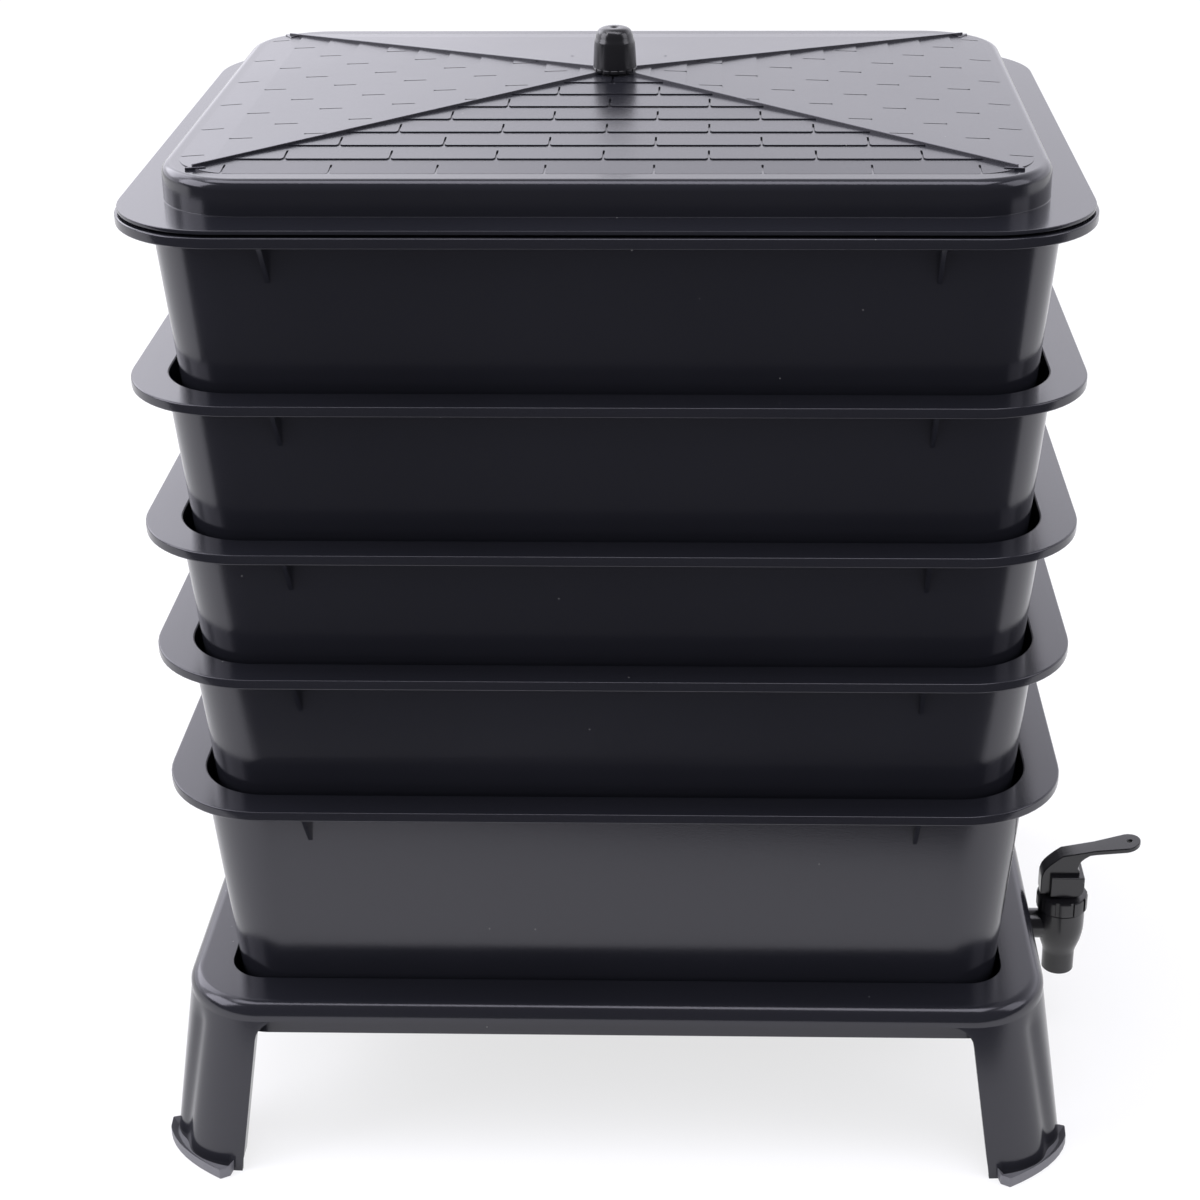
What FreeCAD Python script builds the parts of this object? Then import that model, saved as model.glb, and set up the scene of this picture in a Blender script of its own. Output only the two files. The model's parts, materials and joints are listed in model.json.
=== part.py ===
"""Stacking worm composter: a footed stand with a sump and a lever tap, five nesting trays and a vented lid.

Millimetres. +Z is up, +X is the tap's side, -Y is the front. The origin is on the floor, under the middle
of the stack. Every node is written in its place, with the lid and all five trays stacked.
"""
import FreeCAD
import Part
import math
import os

Vector = FreeCAD.Vector

# Trays
RIM_HALF_X = 210.0            # half the rim's width
RIM_HALF_Y = 165.5            # half the rim's depth
RIM_RADIUS = 49.5             # plan radius of the rim's corners
RIM_DEPTH = 4.8               # thickness of the rim's edge
RIM_REACH = 14.6              # how far the rim stands out from the wall
WALL = 2.0                    # wall thickness of trays and basin
TRAY_HEIGHT = 119.6
TRAY_TAPER = 0.0903           # how far a wall leans out for each millimetre up
TRAY_RADIUS = 30.0            # plan radius of the wall's corners
TRAY_FLOOR = 2.0
RIM_STEPS = (73.9, 69.3, 61.2, 68.2)             # from one rim's top down to the next, top tray first
SEAT_GAP = 0.2                # left under everything that rests on something else

HOLE_LENGTH = 36.0            # drain slots in a tray's floor
HOLE_WIDTH = 6.0
HOLE_COLUMNS = 3
HOLE_ROWS = 2
HOLE_PITCH_X = 100.0
HOLE_PITCH_Y = 110.0

FIN_THICKNESS = 3.0           # upright fins that carry the tray above
FIN_SHELF = 8.0               # how far a fin reaches under the tray above
FIN_UPSTAND = 8.0             # height of the stop outside the shelf
FIN_CLEARANCE = 0.8           # between that stop and the tray above

GUSSET_AT_X = 141.0           # webs under the rim, on the two long walls
GUSSET_THICKNESS = 2.0
GUSSET_DROP = 24.7            # rim's top to the web's foot
GUSSET_INSET = 1.6            # from the rim's edge to the web

# Stand
STAND_TOP = 88.8
BASIN_INSET = 7.9             # a tray's wall at its rim to the basin's wall
BASIN_HALF_X = RIM_HALF_X - RIM_REACH - BASIN_INSET           # inside, at the stand's top
BASIN_HALF_Y = RIM_HALF_Y - RIM_REACH - BASIN_INSET
BASIN_RADIUS = 27.0
BASIN_FLOOR = 61.0            # upper face of the basin's floor
LOWEST_TRAY_LIFT = 14.0       # that floor to the lowest tray's underside
LOWEST_RIM = BASIN_FLOOR + LOWEST_TRAY_LIFT + TRAY_HEIGHT
RIM_TOPS = [LOWEST_RIM + sum(RIM_STEPS[index:]) for index in range(len(RIM_STEPS) + 1)]
LEDGE_X = 20.5                # basin's wall to the stand's edge
LEDGE_Y = 23.5
STAND_HALF_X = BASIN_HALF_X + LEDGE_X
STAND_HALF_Y = BASIN_HALF_Y + LEDGE_Y
STAND_RADIUS = 37.0
STAND_SPLAY = 0.1375          # how far the legs lean out for each millimetre below the skirt
STAND_WALL = 3.0
STAND_ROUND = 6.0             # rounding of the top edge
SKIRT_FOOT = 80.0             # underside of the skirt between the legs
LEG_PAST_CORNER = 0.8         # flat left between the round corner and the leg's free edge
LEG_WIDTH = STAND_RADIUS + LEG_PAST_CORNER
LEG_ARCH_RADIUS = 10.0        # between that edge and the skirt
LEG_RETURN = 10.0             # depth of the flange along each leg's free edges
LEG_RETURN_WALL = 2.5
FLUTE_FROM = 44.0             # hollow down each leg, in degrees round the corner from the front
FLUTE_TO = 64.0
FLUTE_SINK = 1.2

FOOT_HEIGHT = 5.8             # lip round the foot
FOOT_LIP = 3.0
FOOT_FLOOR = 2.0
FOOT_INNER = (-34.5, -3.5)    # foot outline, front right, outward from the leg's outer corner on the floor
FOOT_NOSE = (-33.0, 4.0)
FOOT_TIP = (-28.5, 6.5)
FOOT_MIDDLE = (-8.3, -9.5)
FOOT_SIDE = (2.0, -26.5)
FOOT_HEEL = (2.5, -34.0)
FOOT_OUTER = (-4.0, -36.0)

# Sump and tap
SHANK_Z = 60.3                # the tap's level inlet
SUMP_PAST_BASIN = 1.0
SUMP_LENGTH = 43.5
SUMP_DEPTH = 15.8             # below the tap's inlet
SUMP_RISE = 16.0              # above the basin's floor
SUMP_OUTER_X = BASIN_HALF_X + SUMP_PAST_BASIN     # inner face of the wall that the tap goes through
SUMP_INNER_X = SUMP_OUTER_X - SUMP_LENGTH
SUMP_HALF_Y = 32.0
SUMP_FLOOR = SHANK_Z - SUMP_DEPTH
SUMP_WALL = 2.5
SUMP_TOP = BASIN_FLOOR + SUMP_RISE
TAP_REACH = 37.3              # the sump's wall to the tap's upright axis
TAP_X = SUMP_OUTER_X + SUMP_WALL + TAP_REACH
TAP_Y = -47.0
SUMP_ROUND = 6.0

THREAD_R = 7.2
THREAD_CLEARANCE = 0.4        # round the thread in the wall
SHANK_R = 7.7
SHANK_BORE_R = 4.5
FLANGE_ACROSS_FLATS = 21.0    # six-sided, for holding the tap while the nut is turned
FLANGE_THICKNESS = 3.0
WASHER_THICKNESS = 2.0
WASHER_R = 12.5
WASHER_CLEARANCE = 0.1
INNER_WASHER_R = 11.6
NUT_ACROSS_FLATS = 20.5
NUT_THICKNESS = 6.0
NUT_CLEARANCE = 0.05
THREAD_PAST_NUT = 7.0

SPOUT_R = 8.2
SPOUT_DROP = 26.4             # inlet's axis to the spout's foot
SPOUT_FOOT = SHANK_Z - SPOUT_DROP
SPOUT_LENGTH = 12.1           # plain, below where it widens into the body
SPOUT_TOP = SPOUT_FOOT + SPOUT_LENGTH
TAP_R = 12.0
TAP_WIDENING = 6.5            # height over which it widens
TAP_WIDE = SPOUT_TOP + TAP_WIDENING
TAP_RISE = 10.7               # inlet's axis to the body's top
TAP_TOP = SHANK_Z + TAP_RISE
SPOUT_BORE_R = 5.0
SEAT_DROP = 8.3
SEAT_Z = SHANK_Z - SEAT_DROP   # the seal closes on this ledge
CHAMBER_R = 8.5

COLLAR_R = 13.1
COLLAR_HEIGHT = 8.6
COLLAR_TOP = TAP_TOP + COLLAR_HEIGHT
COLLAR_GAP = 0.3
COLLAR_NOTCHES = 10
COLLAR_NOTCH_DEPTH = 0.9
COLLAR_NOTCH_SHARE = 0.25     # of the pitch
BONNET_CLEARANCE = 0.05
BONNET_PLUG = 5.8             # how far it reaches down into the body
BONNET_FOOT = TAP_TOP - BONNET_PLUG
BONNET_POCKET_R = 6.5         # room for the spring
BONNET_POCKET_RISE = 2.0
BONNET_ROOF = TAP_TOP + BONNET_POCKET_RISE         # underside of the bonnet's roof
BONNET_BOSS = 14.0            # square boss that the lever's base turns on
BONNET_LAND = 1.3
BONNET_TOP = COLLAR_TOP + BONNET_LAND

STEM_R = 3.0
STEM_CLEARANCE = 0.05
STEM_BASE_R = 5.0
STEM_BASE_RISE = 5.6          # above the seat
STEM_BASE_TOP = SEAT_Z + STEM_BASE_RISE
TANG_HALF_X = 2.25            # flat top of the stem, which the pin goes through
TANG_HALF_Y = 1.95
TANG_PAST_PIN = 1.6
SEAL_R = 6.2
SEAL_THICKNESS = 2.3
SEAL_CLEARANCE = 0.05
SPRING_R = 5.0
SPRING_WIRE = 1.0
SPRING_TURNS = 3.5
SPRING_GAP = 0.1              # at each end
SPRING_SIDES = 10             # straight lengths to a turn

PIN_RISE = 6.2                # above the bonnet
PIN_Z = BONNET_TOP + PIN_RISE  # hinge of the lever
PIN_R = 1.5
PIN_CLEARANCE = 0.05
PIN_LENGTH = 15.4
LEVER_BASE_GAP = 0.2
LEVER_BACK = 7.4              # block's reach behind and in front of the hinge
LEVER_FRONT = 9.8
LEVER_RISE = 5.4              # block's top above the hinge
LEVER_TOP = PIN_Z + LEVER_RISE
LEVER_HALF_WIDTH = 8.0
CAM_RADIUS = 4.5
LEVER_SLOT = (-5.2, 7.2)      # slot for the stem, behind and in front of the hinge
LEVER_SLOT_CLEARANCE = 0.3    # at each side of the stem
LEVER_SLOT_ROOF = 0.9         # thickness left over the slot
NECK_BACK = -12.2             # outer side of the neck, from the axis
NECK_BEND = ((2.5, -12.2), (10.5, -8.7), (16.6, -1.7))        # (above the pin, from the axis), outer side
NECK_ROOT = ((12.0, 0.0), (7.3, 12.7), (6.2, 8.5), (8.2, 7.7))    # (from the axis, above it); 0: at the arm
ARM_HALF_WIDTH = 5.0
ARM_WIDENS = 16.0             # from here the arm widens to the paddle
ARM_THICKNESS = 2.6
ARM_SLOPE = 0.187
ARM_ROOT = (0.3, 17.2)        # a point on the arm's upper face: from the axis, above the pin
ARM_TIP = 38.0                # from the axis
PADDLE_HALF_WIDTH = 7.3

# Lid
LID_INSET_X = 1.2             # the rim's edge to the lid's
LID_INSET_Y = 1.15
LID_HALF_X = RIM_HALF_X - LID_INSET_X
LID_HALF_Y = RIM_HALF_Y - LID_INSET_Y
LID_RADIUS = RIM_RADIUS - LID_INSET_X
LID_GAP = 1.1                 # air left above the top tray's rim
LID_FLANGE = 1.8
FLANGE_TOP = RIM_TOPS[0] + LID_GAP + LID_FLANGE
LID_WALL = 1.8
CATCH_LENGTH = 40.0           # blocks under the flange, one to a side, that sit on the rim and inside it
CATCH_PAD = 6.0
CATCH_RIB = 3.0
CATCH_DROP = 5.0
CATCH_CLEARANCE = 1.0
FLANGE_WIDTH_X = 18.2         # the lid's edge to its raised top
FLANGE_WIDTH_Y = 19.55
PLATEAU_HALF_X = LID_HALF_X - FLANGE_WIDTH_X
PLATEAU_HALF_Y = LID_HALF_Y - FLANGE_WIDTH_Y
PLATEAU_RADIUS = 38.0
PLATEAU_HEIGHT = 15.5
PLATEAU_TOP = FLANGE_TOP + PLATEAU_HEIGHT
PLATEAU_ROUND = 4.5
EAVES_INSET_X = 7.7           # the raised top's edge to the lowest course, sides and front
EAVES_INSET_Y = 11.2
ROOF_HALF_X = PLATEAU_HALF_X - EAVES_INSET_X
ROOF_HALF_Y = PLATEAU_HALF_Y - EAVES_INSET_Y
ROOF_RADIUS = 28.0            # plan radius of the roof's corners
COURSE_PITCH = 16.6
COURSE_STEP = 0.6
ROOF_RISE = 11.9
ROOF_EAVES = PLATEAU_TOP + COURSE_STEP
ROOF_APEX = ROOF_EAVES + ROOF_RISE
ROOF_THICKNESS = 2.4
ATTIC_TOP_SHARE = 0.042       # the hollow under the roof narrows to this share
HIP_SHORT = 8.9               # the ribs end this far inside the eaves
HIP_REACH_X = ROOF_HALF_X - HIP_SHORT
HIP_FROM_KNOB = 1.4
HIP_WIDTH = 2.0
HIP_HEIGHT = 1.9
HIP_SINK = 1.0                # how far the ribs reach down into the roof
HIP_TIP = (-5.0, 4.0, 4.5)    # pointed end: back, forward and half width
KNOB_SEAT_R = 11.3            # flat under the knob, with this many sides
KNOB_SEAT_SIDES = 8

KNOB_HEIGHT = 20.0
KNOB_BASE_R = 10.1
KNOB_TOP_R = 8.4
KNOB_SHOULDER = 0.64          # height of the shoulder as a share of the knob's
SCREW_R = 2.0
SCREW_CLEARANCE = 0.3         # round the screw in the lid
SCREW_IN_KNOB = 0.03          # round it in the knob
SCREW_SEAT = 0.02             # between its head and the lid
SCREW_BEYOND = 1.0            # the knob's hole is this much deeper
SCREW_LENGTH = 14.0
SCREW_HEAD_R = 5.0
SCREW_HEAD = 2.4

OVERSHOOT = 1.0               # cutting tools run this far past what they cut
BITE = 0.4                    # pieces of one moulding run this far into each other
FIRST_BEVEL = 0.29            # share of an eased edge that is in its first bevel
QUARTER = 90                  # degrees


# Helpers
def rounded_rectangle(half_x, half_y, radius, z):
    """A closed wire: a rectangle with round corners, level at height z."""
    edges = []
    corners = ((1, -1, -90), (1, 1, 0), (-1, 1, 90), (-1, -1, 180))
    arcs = []
    for side_x, side_y, start in corners:
        centre = Vector(side_x * (half_x - radius), side_y * (half_y - radius), z)
        ends = []
        for angle in (start, start + QUARTER / 2, start + QUARTER):
            turn = math.radians(angle)
            ends.append(centre + Vector(radius * math.cos(turn), radius * math.sin(turn), 0))
        arcs.append(ends)
    for index, ends in enumerate(arcs):
        edges.append(Part.Arc(*ends).toShape())
        following = arcs[(index + 1) % len(arcs)]
        edges.append(Part.makeLine(ends[2], following[0]))
    return Part.Wire(edges)


def plate(half_x, half_y, radius, low, high):
    """An upright slab with round corners."""
    face = Part.Face(rounded_rectangle(half_x, half_y, radius, low))
    return face.extrude(Vector(0, 0, high - low))


def leaning(half_x, half_y, radius, low, high, lean):
    """A slab whose walls lean out by lean for each millimetre up; its sizes are given at low."""
    lift = high - low
    grow = lean * lift
    base = rounded_rectangle(half_x, half_y, radius, low)
    crown = rounded_rectangle(half_x + grow, half_y + grow, radius, high)
    corners = ((1, -1), (1, 1), (-1, 1), (-1, -1))
    faces = [Part.Face(base), Part.Face(crown)]
    for index, (side_x, side_y) in enumerate(corners):
        arc = base.Edges[2 * index]
        faces.append(arc.extrude(Vector(side_x * grow, side_y * grow, lift)))
        lower = [v.Point for v in base.Edges[2 * index + 1].Vertexes]
        upper = [v.Point for v in crown.Edges[2 * index + 1].Vertexes]
        faces.append(Part.Face(Part.makePolygon(lower + upper[::-1] + lower[:1])))
    return closed_solid(faces)


def closed_solid(faces):
    """A solid from faces that meet all round."""
    shell = Part.makeShell(faces)
    shell.sewShape()
    solid = Part.makeSolid(shell)
    if solid.Volume < 0:
        solid.reverse()
    return solid


def frustum(low_points, high_points):
    """A flat-faced solid between two polygons with the same number of corners."""
    low_points = [Vector(*p) for p in low_points]
    high_points = [Vector(*p) for p in high_points]
    faces = [Part.Face(Part.makePolygon(ring + ring[:1])) for ring in (low_points, high_points)]
    count = len(low_points)
    for index in range(count):
        after = (index + 1) % count
        loop = [low_points[index], low_points[after], high_points[after], high_points[index]]
        faces.append(Part.Face(Part.makePolygon(loop + loop[:1])))
    return closed_solid(faces)


def eased(half_x, half_y, radius, flat, edge, ease):
    """A slab from height flat to height edge whose rim at edge is eased in two bevels."""
    toward = 1 if edge > flat else -1
    first = FIRST_BEVEL * ease
    wires = []
    for z, inset in ((flat, 0), (edge - toward * ease, 0), (edge - toward * first, first), (edge, ease)):
        wires.append(rounded_rectangle(half_x - inset, half_y - inset, radius - inset, z))
    return Part.makeLoft(wires, True, True)


def box(low, high):
    """A box between two opposite corners."""
    size = [b - a for a, b in zip(low, high)]
    return Part.makeBox(size[0], size[1], size[2], Vector(*low))


def prism(points, direction):
    """A flat polygon drawn out along direction."""
    closed = [Vector(*p) for p in points] + [Vector(*points[0])]
    return Part.Face(Part.makePolygon(closed)).extrude(Vector(*direction))


def regular_polygon(count, radius, z):
    """Corners of a level regular polygon round the middle."""
    turns = [2 * math.pi * index / count for index in range(count)]
    return [(radius * math.cos(turn), radius * math.sin(turn), z) for turn in turns]


def web(profile, along, side, offset, thickness):
    """A flat web across a wall; profile holds (distance from the middle, height) pairs."""
    start = offset - thickness / 2
    if along == "X":
        points = [(side * distance, start, height) for distance, height in profile]
        return prism(points, (0, thickness, 0))
    points = [(start, side * distance, height) for distance, height in profile]
    return prism(points, (thickness, 0, 0))


def turned(profile, x=0.0, y=0.0):
    """A solid of revolution about an upright axis; profile holds (radius, height) pairs."""
    closed = [Vector(x + r, y, z) for r, z in profile]
    closed.append(closed[0])
    face = Part.Face(Part.makePolygon(closed))
    return face.revolve(Vector(x, y, 0), Vector(0, 0, 1), 360)


def rod(radius, start, end):
    """A cylinder between two points."""
    start = Vector(*start)
    line = Vector(*end) - start
    return Part.makeCylinder(radius, line.Length, start, line)


def mirrored(shape, x=False, y=False):
    """The shape on the other side of the middle planes."""
    result = shape
    if x:
        result = result.mirror(Vector(0, 0, 0), Vector(1, 0, 0))
    if y:
        result = result.mirror(Vector(0, 0, 0), Vector(0, 1, 0))
    return result


def four_corners(shape):
    """The shape and its mirror images, one in each corner."""
    return [mirrored(shape, x, y) for x in (False, True) for y in (False, True)]


def join(shapes):
    """One solid of several that meet."""
    return shapes[0].multiFuse(shapes[1:]).removeSplitter()


# Trays
TRAY_WALL_X = RIM_HALF_X - RIM_REACH
TRAY_WALL_Y = RIM_HALF_Y - RIM_REACH
TRAY_SHRINK = TRAY_TAPER * TRAY_HEIGHT
TRAY_FOOT_X = TRAY_WALL_X - TRAY_SHRINK
TRAY_FOOT_Y = TRAY_WALL_Y - TRAY_SHRINK
TRAY_BOTTOMS = tuple(top - TRAY_HEIGHT for top in RIM_TOPS)


def carrying_fin(along, side, offset, foot, shelf, wall_at):
    """A fin from foot up to shelf that holds the tray above and keeps it in the middle."""
    edge = TRAY_FOOT_X if along == "X" else TRAY_FOOT_Y
    top = shelf + FIN_UPSTAND
    stop = edge + FIN_CLEARANCE
    profile = (
        (edge - FIN_SHELF, foot - BITE),
        (edge - FIN_SHELF, shelf),
        (stop, shelf),
        (stop + TRAY_TAPER * FIN_UPSTAND, top),
        (wall_at(along, top) + BITE, top),
        (wall_at(along, foot) + BITE, foot - BITE),
    )
    return web(profile, along, side, offset, FIN_THICKNESS)


def fins(foot, shelf, wall_at):
    """Four fins, one in the middle of each wall."""
    return [carrying_fin(along, side, 0, foot, shelf, wall_at) for along in "XY" for side in (-1, 1)]


def tray_wall_inside(along, z):
    """Distance from the middle to a tray's inner wall, z above the tray's underside."""
    foot = TRAY_FOOT_X if along == "X" else TRAY_FOOT_Y
    return foot - WALL + TRAY_TAPER * z


def gusset(side, offset):
    """A triangular web in the angle between a long wall and the rim."""
    foot = TRAY_HEIGHT - GUSSET_DROP
    under_rim = TRAY_HEIGHT - RIM_DEPTH + BITE
    outside = WALL + tray_wall_inside("Y", foot)
    hidden = tray_wall_inside("Y", foot) + BITE
    profile = ((hidden, foot), (outside, foot), (RIM_HALF_Y - GUSSET_INSET, under_rim), (hidden, under_rim))
    return web(profile, "Y", side, offset, GUSSET_THICKNESS)


def tray(bottom, shelf):
    """One tray standing at height bottom; shelf is how high its fins carry the next tray."""
    walls = leaning(TRAY_FOOT_X, TRAY_FOOT_Y, TRAY_RADIUS, 0, TRAY_HEIGHT, TRAY_TAPER)
    rim = plate(RIM_HALF_X, RIM_HALF_Y, RIM_RADIUS, TRAY_HEIGHT - RIM_DEPTH, TRAY_HEIGHT)
    solids = [walls, rim]
    for side in (-1, 1):
        for end in (-1, 1):
            solids.append(gusset(side, end * GUSSET_AT_X))
    body = join(solids)
    inside = leaning(tray_wall_inside("X", TRAY_FLOOR), tray_wall_inside("Y", TRAY_FLOOR),
                     TRAY_RADIUS - WALL, TRAY_FLOOR, TRAY_HEIGHT + OVERSHOOT, TRAY_TAPER)
    body = body.cut(inside)
    body = join([body] + fins(TRAY_FLOOR, shelf, tray_wall_inside))
    slots = []
    for column in range(HOLE_COLUMNS):
        for row in range(HOLE_ROWS):
            x = (column - (HOLE_COLUMNS - 1) / 2) * HOLE_PITCH_X
            y = (row - (HOLE_ROWS - 1) / 2) * HOLE_PITCH_Y
            slots.append(box((x - HOLE_LENGTH / 2, y - HOLE_WIDTH / 2, -OVERSHOOT),
                             (x + HOLE_LENGTH / 2, y + HOLE_WIDTH / 2, TRAY_FLOOR + OVERSHOOT)))
    body = body.cut(Part.makeCompound(slots))
    body.translate(Vector(0, 0, bottom))
    return body


# Stand
def round_corner(radius, degrees, z):
    """A point on an arc round the front right corner, in degrees from the front."""
    turn = math.radians(degrees)
    return Vector(STAND_HALF_X - STAND_RADIUS + radius * math.sin(turn),
                  -(STAND_HALF_Y - STAND_RADIUS + radius * math.cos(turn)), z)


def corner_arc(radius, start, end, z):
    """A round edge between two angles of that corner."""
    ends = [round_corner(radius, angle, z) for angle in (start, (start + end) / 2, end)]
    return Part.Arc(*ends).toShape()


def leg_plan():
    """Plan of the front right leg's wall at the skirt: fluted skin, returns and inner skin."""
    z = SKIRT_FOOT
    edge_x = STAND_HALF_X - LEG_WIDTH
    edge_y = STAND_HALF_Y - LEG_WIDTH
    inner = STAND_RADIUS - STAND_WALL
    stop = math.degrees(math.asin((LEG_RETURN_WALL + STAND_RADIUS - LEG_WIDTH) / inner))
    flute = Part.Arc(round_corner(STAND_RADIUS, FLUTE_FROM, z),
                     round_corner(STAND_RADIUS - FLUTE_SINK, (FLUTE_FROM + FLUTE_TO) / 2, z),
                     round_corner(STAND_RADIUS, FLUTE_TO, z)).toShape()
    side = [round_corner(STAND_RADIUS, 90, z), Vector(STAND_HALF_X, -edge_y, z),
            Vector(STAND_HALF_X - LEG_RETURN, -edge_y, z),
            Vector(STAND_HALF_X - LEG_RETURN, -(edge_y + LEG_RETURN_WALL), z),
            round_corner(inner, 90 - stop, z)]
    front = [round_corner(inner, stop, z),
             Vector(edge_x + LEG_RETURN_WALL, -(STAND_HALF_Y - LEG_RETURN), z),
             Vector(edge_x, -(STAND_HALF_Y - LEG_RETURN), z), Vector(edge_x, -STAND_HALF_Y, z),
             round_corner(STAND_RADIUS, 0, z)]
    edges = [corner_arc(STAND_RADIUS, 0, FLUTE_FROM, z), flute, corner_arc(STAND_RADIUS, FLUTE_TO, 90, z)]
    edges += [Part.makeLine(a, b) for a, b in zip(side, side[1:])]
    edges.append(corner_arc(inner, 90 - stop, stop, z))
    edges += [Part.makeLine(a, b) for a, b in zip(front, front[1:])]
    return Part.Face(Part.Wire(edges))


LEG_DROP = SKIRT_FOOT - FOOT_HEIGHT
LEG_LEAN = STAND_SPLAY * LEG_DROP


def leg():
    """The front right leg from the skirt down to its foot, leaning out to both sides."""
    return leg_plan().extrude(Vector(LEG_LEAN, -LEG_LEAN, -LEG_DROP))


def arch(along):
    """The web that rounds the angle between the skirt and one free edge of the front right leg."""
    half = STAND_HALF_X if along == "X" else STAND_HALF_Y
    face_at = STAND_HALF_Y if along == "X" else STAND_HALF_X
    eighth = math.radians(QUARTER / 2)

    def point(from_edge, drop):
        a = half - LEG_WIDTH + from_edge + STAND_SPLAY * drop
        b = face_at + STAND_SPLAY * drop
        return Vector(a, -b, SKIRT_FOOT - drop) if along == "X" else Vector(b, -a, SKIRT_FOOT - drop)
    radius = LEG_ARCH_RADIUS
    ends = (point(-radius, 0), point(radius * (math.sin(eighth) - 1), radius * (1 - math.cos(eighth))),
            point(0, radius))
    corners = (ends[2], point(BITE, radius), point(BITE, 0), ends[0])
    edges = [Part.Arc(*ends).toShape()]
    edges += [Part.makeLine(a, b) for a, b in zip(corners, corners[1:])]
    inward = Vector(0, STAND_WALL, 0) if along == "X" else Vector(-STAND_WALL, 0, 0)
    return Part.Face(Part.Wire(edges)).extrude(inward)


def foot():
    """The front right foot: a gutter round the outside of the leg's end, and that end itself."""
    lean = STAND_SPLAY * SKIRT_FOOT

    def at(pair):
        return Vector(STAND_HALF_X + lean + pair[0], -(STAND_HALF_Y + lean + pair[1]), 0)
    arc = Part.Arc(at(FOOT_TIP), at(FOOT_MIDDLE), at(FOOT_SIDE)).toShape()
    edges = [Part.makeLine(at(FOOT_INNER), at(FOOT_NOSE)), Part.makeLine(at(FOOT_NOSE), at(FOOT_TIP)), arc,
             Part.makeLine(at(FOOT_SIDE), at(FOOT_HEEL)), Part.makeLine(at(FOOT_HEEL), at(FOOT_OUTER)),
             Part.makeLine(at(FOOT_OUTER), at(FOOT_INNER))]
    outline = Part.Wire(edges)
    whole = Part.Face(outline).extrude(Vector(0, 0, FOOT_HEIGHT))
    gutter = Part.Face(outline.makeOffset2D(-FOOT_LIP)).extrude(Vector(0, 0, FOOT_HEIGHT))
    gutter.translate(Vector(0, 0, FOOT_FLOOR))
    lean = Vector(LEG_LEAN, -LEG_LEAN, 0)
    middle = round_corner(0, 0, 0) + lean
    hollow = rod(STAND_RADIUS - STAND_WALL, tuple(middle), tuple(middle + Vector(0, 0, FOOT_HEIGHT)))
    end = leg_plan().extrude(Vector(0, 0, -FOOT_HEIGHT))
    end.translate(lean - Vector(0, 0, LEG_DROP))
    return whole.cut(gutter).cut(hollow).fuse(end)


def basin_wall_inside(along, _):
    """Distance from the middle to the basin's upright inner wall."""
    return BASIN_HALF_X if along == "X" else BASIN_HALF_Y


def stand():
    """Frame, legs, basin and sump in one moulding."""
    frame = eased(STAND_HALF_X, STAND_HALF_Y, STAND_RADIUS, SKIRT_FOOT, STAND_TOP, STAND_ROUND)
    frame = frame.cut(plate(STAND_HALF_X - STAND_WALL, STAND_HALF_Y - STAND_WALL, STAND_RADIUS - STAND_WALL,
                            SKIRT_FOOT - OVERSHOOT, STAND_TOP - STAND_WALL))
    solids = [frame]
    for piece in (leg(), arch("X"), arch("Y"), foot()):
        solids += four_corners(piece)
    solids.append(plate(BASIN_HALF_X + WALL, BASIN_HALF_Y + WALL, BASIN_RADIUS + WALL,
                        BASIN_FLOOR - WALL, STAND_TOP - STAND_WALL / 2))
    sump = box((SUMP_INNER_X - SUMP_WALL, TAP_Y - SUMP_HALF_Y - SUMP_WALL, SUMP_FLOOR - SUMP_WALL),
               (SUMP_OUTER_X + SUMP_WALL, TAP_Y + SUMP_HALF_Y + SUMP_WALL, SUMP_TOP + SUMP_WALL))
    rounded = []
    for edge in sump.Edges:
        bounds = edge.BoundBox
        if bounds.ZLength > SUMP_WALL and bounds.XMax < SUMP_INNER_X:
            rounded.append(edge)
    sump = sump.makeFillet(SUMP_ROUND, rounded)
    body = join(solids + [sump])

    body = body.cut(plate(BASIN_HALF_X, BASIN_HALF_Y, BASIN_RADIUS, BASIN_FLOOR, STAND_TOP + OVERSHOOT))
    body = body.cut(box((SUMP_INNER_X, TAP_Y - SUMP_HALF_Y, SUMP_FLOOR),
                        (SUMP_OUTER_X, TAP_Y + SUMP_HALF_Y, SUMP_TOP)))
    shelf = TRAY_BOTTOMS[-1] - SEAT_GAP
    body = join([body] + fins(BASIN_FLOOR, shelf, basin_wall_inside))
    tap_hole = rod(THREAD_R + THREAD_CLEARANCE, (SUMP_OUTER_X - OVERSHOOT, TAP_Y, SHANK_Z),
                   (SUMP_OUTER_X + SUMP_WALL + OVERSHOOT, TAP_Y, SHANK_Z))
    return body.cut(tap_hole)


# Tap
WALL_OUT = SUMP_OUTER_X + SUMP_WALL
FLANGE_START = WALL_OUT + WASHER_THICKNESS
NUT_END = SUMP_OUTER_X - WASHER_THICKNESS
NUT_START = NUT_END - NUT_THICKNESS
THREAD_START = NUT_START - THREAD_PAST_NUT


def along_shank(radius, start, end):
    """A cylinder on the tap's inlet axis."""
    return rod(radius, (start, TAP_Y, SHANK_Z), (end, TAP_Y, SHANK_Z))


def hexagon(across_flats, start, thickness):
    """A six-sided slab on the tap's inlet axis."""
    corner = across_flats / 2 / math.cos(math.pi / 6)
    points = []
    for index in range(6):
        turn = math.pi / 3 * (index + 0.5)
        points.append((start, TAP_Y + corner * math.cos(turn), SHANK_Z + corner * math.sin(turn)))
    return prism(points, (thickness, 0, 0))


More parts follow.
